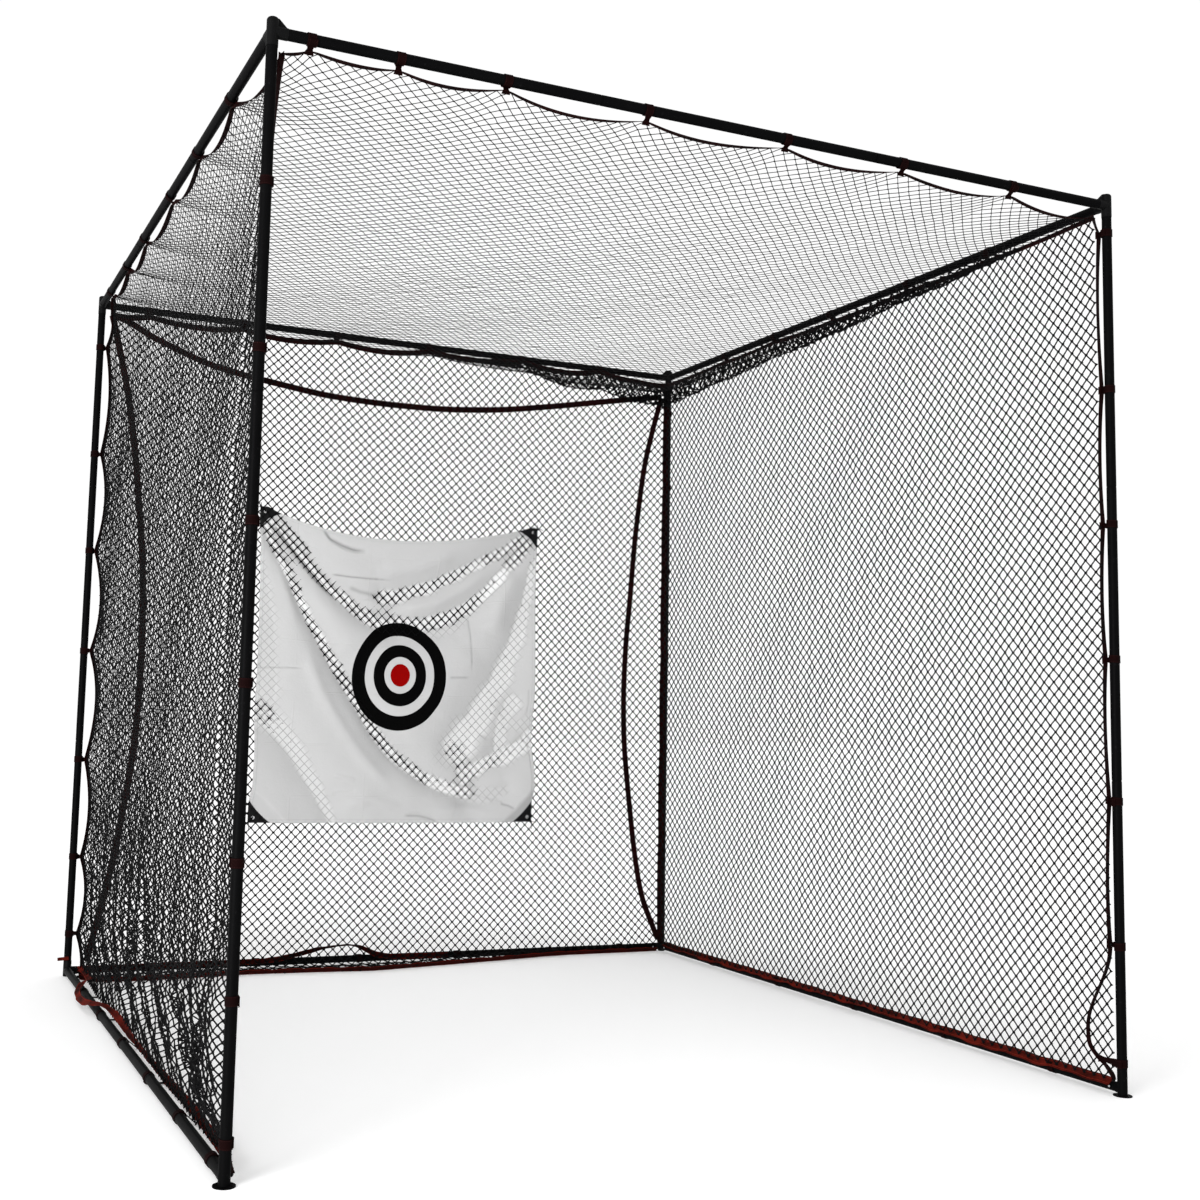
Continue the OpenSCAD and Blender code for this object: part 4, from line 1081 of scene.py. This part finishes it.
def target_sheet():
    grid = np.arange((TARGET_COLS + 1) * (TARGET_ROWS + 1)).reshape(TARGET_ROWS + 1, TARGET_COLS + 1)
    u, v = (a.ravel() for a in np.meshgrid(*(np.linspace(0, 1, n + 1) for n in (TARGET_COLS, TARGET_ROWS))))
    front, touch, shade = sheet_place(u, v)
    quads = np.stack([grid[:-1, :-1], grid[:-1, 1:], grid[1:, 1:], grid[1:, :-1]], -1).reshape(-1, 4)
    rim = np.concatenate([grid[0], grid[1:, -1], grid[-1, -2::-1], grid[-2:0:-1, 0]])
    after = np.roll(rim, -1)
    rim_quads = np.stack([after, rim, rim + grid.size, after + grid.size], -1)
    faces = np.concatenate([quads, quads[:, ::-1] + grid.size, rim_quads])
    flat = np.stack([(u - 0.5) * TARGET_W, v * TARGET_H], -1)[faces % grid.size]
    points = np.concatenate([front, front + (0, CLOTH_T, 0)])
    return add_piece("target_cloth_sheet", "Flat", points, faces.tolist(), flat, "target_cloth",
                     "target_sheet", touch=(touch, touch), shade=(shade, shade))


PATCH_LEG = 0.104
PATCH_HOLLOW = 0.006
# How far in front of the cloth a patch begins and ends, and how much thinner its rim is
PATCH_GAP, PATCH_FRONT, PATCH_HEM = 0.0001, 0.0031, 0.0009
EYE_IN = 0.024
EYE_R = 0.0082
FLANGE_R = 0.0128


# The sheet's corners: the side, and 1 for the upper ones
SHEET_CORNERS = [(x, high) for x in (-1, 1) for high in (0, 1)]
CORD_R = 0.0016
TIE_REACH = 0.0378


def patch_outline():
    """Corner, one leg, the slightly hollow long side and the other leg, going round"""
    steps = np.linspace(0, 1, 13)[:-1]
    outline = [(PATCH_LEG * k, 0) for k in steps]
    for k in np.linspace(0, 1, 17)[:-1]:
        hollow = PATCH_HOLLOW * 4 * k * (1 - k) / math.sqrt(2)
        outline.append((PATCH_LEG * (1 - k) - hollow, PATCH_LEG * k - hollow))
    return np.array(outline + [(0, PATCH_LEG * (1 - k)) for k in steps])


def corner_patches():
    """Black triangles sewn over the sheet's corners, following its sag, each with its eye cut out"""
    outline = patch_outline()
    eye = np.array((EYE_IN, EYE_IN))
    away = unit(outline - eye)
    rings = [eye + away * EYE_R, eye + away * FLANGE_R]
    rings += [rings[1] + (outline - rings[1]) * k for k in (0.10, 0.40, 0.72, 0.93, 1.0)]
    flat = np.concatenate(rings)
    n, count = len(outline), len(flat)
    k = np.arange(n)
    after = (k + 1) % n
    to_edge = np.minimum(flat.min(1), (PATCH_LEG - flat.sum(1)) / math.sqrt(2))
    parts = []
    for x, high in SHEET_CORNERS:
        u, v = flat[:, 0] / TARGET_W, flat[:, 1] / TARGET_H
        sewn = sheet_place(1 - u if x > 0 else u, 1 - v if high else v)[0]
        front, back = sewn - (0, PATCH_FRONT, 0), sewn - (0, PATCH_GAP, 0)
        back[:2 * n, 1] = TARGET_BACK - PATCH_FRONT
        front[-n:, 1] += PATCH_HEM
        faces = []
        for low in range(0, count - n, n):
            quads = np.stack([low + k, low + after, low + n + after, low + n + k], -1)
            faces += [quads, quads[:, ::-1] + count]
        last = count - n
        faces.append(np.stack([last + k, last + after, last + after + count, last + k + count], -1))
        faces.append(np.stack([after, k, k + count, after + count], -1))
        faces = np.concatenate(faces)
        if (x < 0) == bool(high):
            faces = faces[:, ::-1]
        parts.append((np.concatenate([front, back]), faces.tolist(), np.concatenate([flat, flat])))
    return add_piece("corner_patch_cloth", "Patch", *joined(parts), "patch_cloth", "target_corner_patches",
                     smooth=False, edge=2 * len(parts) * [to_edge])


def cord(line, radius, tapered=False, closed=False):
    """A round cord along a line"""
    along = unit(np.roll(line, -1, 0) - np.roll(line, 1, 0)) if closed else unit(np.gradient(line, axis=0))
    share = np.linspace(-1, 1, len(line))
    size = radius * (np.sqrt(np.maximum(0.05, 1 - share ** 2)) if tapered else np.ones(len(line)))
    rings = line[:, None] + size[:, None, None] * rings_round(along, (0.3, 0.2, 0.93), 8)
    steps = np.stack(np.indices(rings.shape[:2]), -1)
    return skin(rings, steps * (0.002, 0.0012), closed)


def target_ties():
    """Short loops of cord through the eyes and round the net behind, each with its knot in front"""
    parts = []
    for x, high in SHEET_CORNERS:
        corner = Vector((x * TARGET_W / 2, 0, TARGET_LOW.z + high * TARGET_H))
        up = -1 if high else 1
        eye = np.array((corner.x - x * EYE_IN, TARGET_BACK - 0.004, corner.z + up * EYE_IN))
        out = unit(np.array((x, 0, -up)))
        loop = [eye + out * (TIE_REACH / 2 * (1 - math.cos(a))) + (0, 0.0095 * math.sin(a), 0)
                for a in np.linspace(0, 2 * math.pi, 25)[:-1]]
        parts.append(cord(np.array(loop), CORD_R, closed=True))
        knot = eye + out * 0.030 - (0, 0.0075, 0)
        for splay in (-0.6, 0.8):
            tail = unit(out + splay * np.array((up, 0, x)))
            steps = np.linspace(0, 1, 7)[:, None]
            droop = np.array((0, 0.002, -0.010)) * steps ** 2
            parts.append(cord(knot + tail * 0.030 * steps + droop, CORD_R))
        parts.append(cord(knot + np.outer(np.linspace(-1, 1, 7), out * 0.005), 0.0034, tapered=True))
    add_piece("target_tie_loops", "Twine", *joined(parts), "knotted_net")


# ---- The frame's own finish --------------------------------------------------------------------------

# What parts with these words in their names are made of; the others are powder-coated
FINISHES = {
    "fitting": "fitting_coat", "snap_button": "spring_steel", "leaf_springs": "spring_steel",
    "grommets": "grommet_metal",
}


def dress_frame():
    for name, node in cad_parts.items():
        finish = next((coat for word, coat in FINISHES.items() if word in name), "powder_coat")
        if not node.data.materials:
            node.data.materials.append(None)
        for slot in node.material_slots:
            slot.material = MATERIALS[finish]


# ---- Floor and light ---------------------------------------------------------------------------------

FLOOR_HALF = 60
WALL_LIGHT, SKY_LIGHT, FLOOR_GLOW = 1.02, 0.75, 0.21
# Heights, as shares of the sky, between which the wall's light turns into the sky's
WALL_TOP, SKY_FROM = 0.58, 0.95
KEY_AT, KEY_POWER, KEY_SIZE = (-7.5, -5.5, 1.5), 900, 3.0


def studio():
    h = FLOOR_HALF
    floor = bpy.data.meshes.new("studio_floor")
    floor.from_pydata([(-h, -h, 0), (h, -h, 0), (h, h, 0), (-h, h, 0)], [], [(0, 1, 2, 3)])
    made = Shader("studio_floor", grey(0.95), 0.95, Specular_IOR_Level=0.0,
                  Emission_Color=(1, 1, 1, 1), Emission_Strength=FLOOR_GLOW)
    made.put(made.surface, Base_Color=made.mix(made.noise(made.place(), 2, 2), grey(0.94), grey(0.96)))
    floor.materials.append(made.material)
    piece = bpy.data.objects.new("studio_floor", floor)
    bpy.context.scene.collection.objects.link(piece)

    # A white wall all round, darker overhead
    world = bpy.data.worlds.new("studio")
    bpy.context.scene.world = world
    world.use_nodes = True
    nodes, links = world.node_tree.nodes, world.node_tree.links
    way = nodes.new("ShaderNodeTexCoord").outputs["Generated"]
    split, shade = nodes.new("ShaderNodeSeparateXYZ"), nodes.new("ShaderNodeMapRange")
    shade.interpolation_type = "SMOOTHSTEP"
    ends = {"From Min": WALL_TOP, "From Max": SKY_FROM, "To Min": WALL_LIGHT, "To Max": SKY_LIGHT}
    for socket, value in ends.items():
        shade.inputs[socket].default_value = value
    links.new(way, split.inputs[0])
    links.new(split.outputs[2], shade.inputs["Value"])
    background = nodes["Background"]
    background.inputs["Color"].default_value = (1, 1, 1, 1)
    links.new(shade.outputs[0], background.inputs["Strength"])

    lamp = bpy.data.lights.new("key", "AREA")
    lamp.size, lamp.energy = KEY_SIZE, KEY_POWER
    light = bpy.data.objects.new("key", lamp)
    bpy.context.scene.collection.objects.link(light)
    light.location = KEY_AT
    light.rotation_euler = (Vector((0, 0, 1.2)) - Vector(KEY_AT)).to_track_quat("-Z", "Y").to_euler()
    bpy.context.scene.view_settings.view_transform = "Standard"


# ---- Assembly ----------------------------------------------------------------------------------------

dress_frame()
back_net()
right_net()
left_net()
top_net()
upper_tapes()
floor_tapes()
arc_tapes()
straps()
sheet = target_sheet()
patches = corner_patches()
target_ties()
studio()
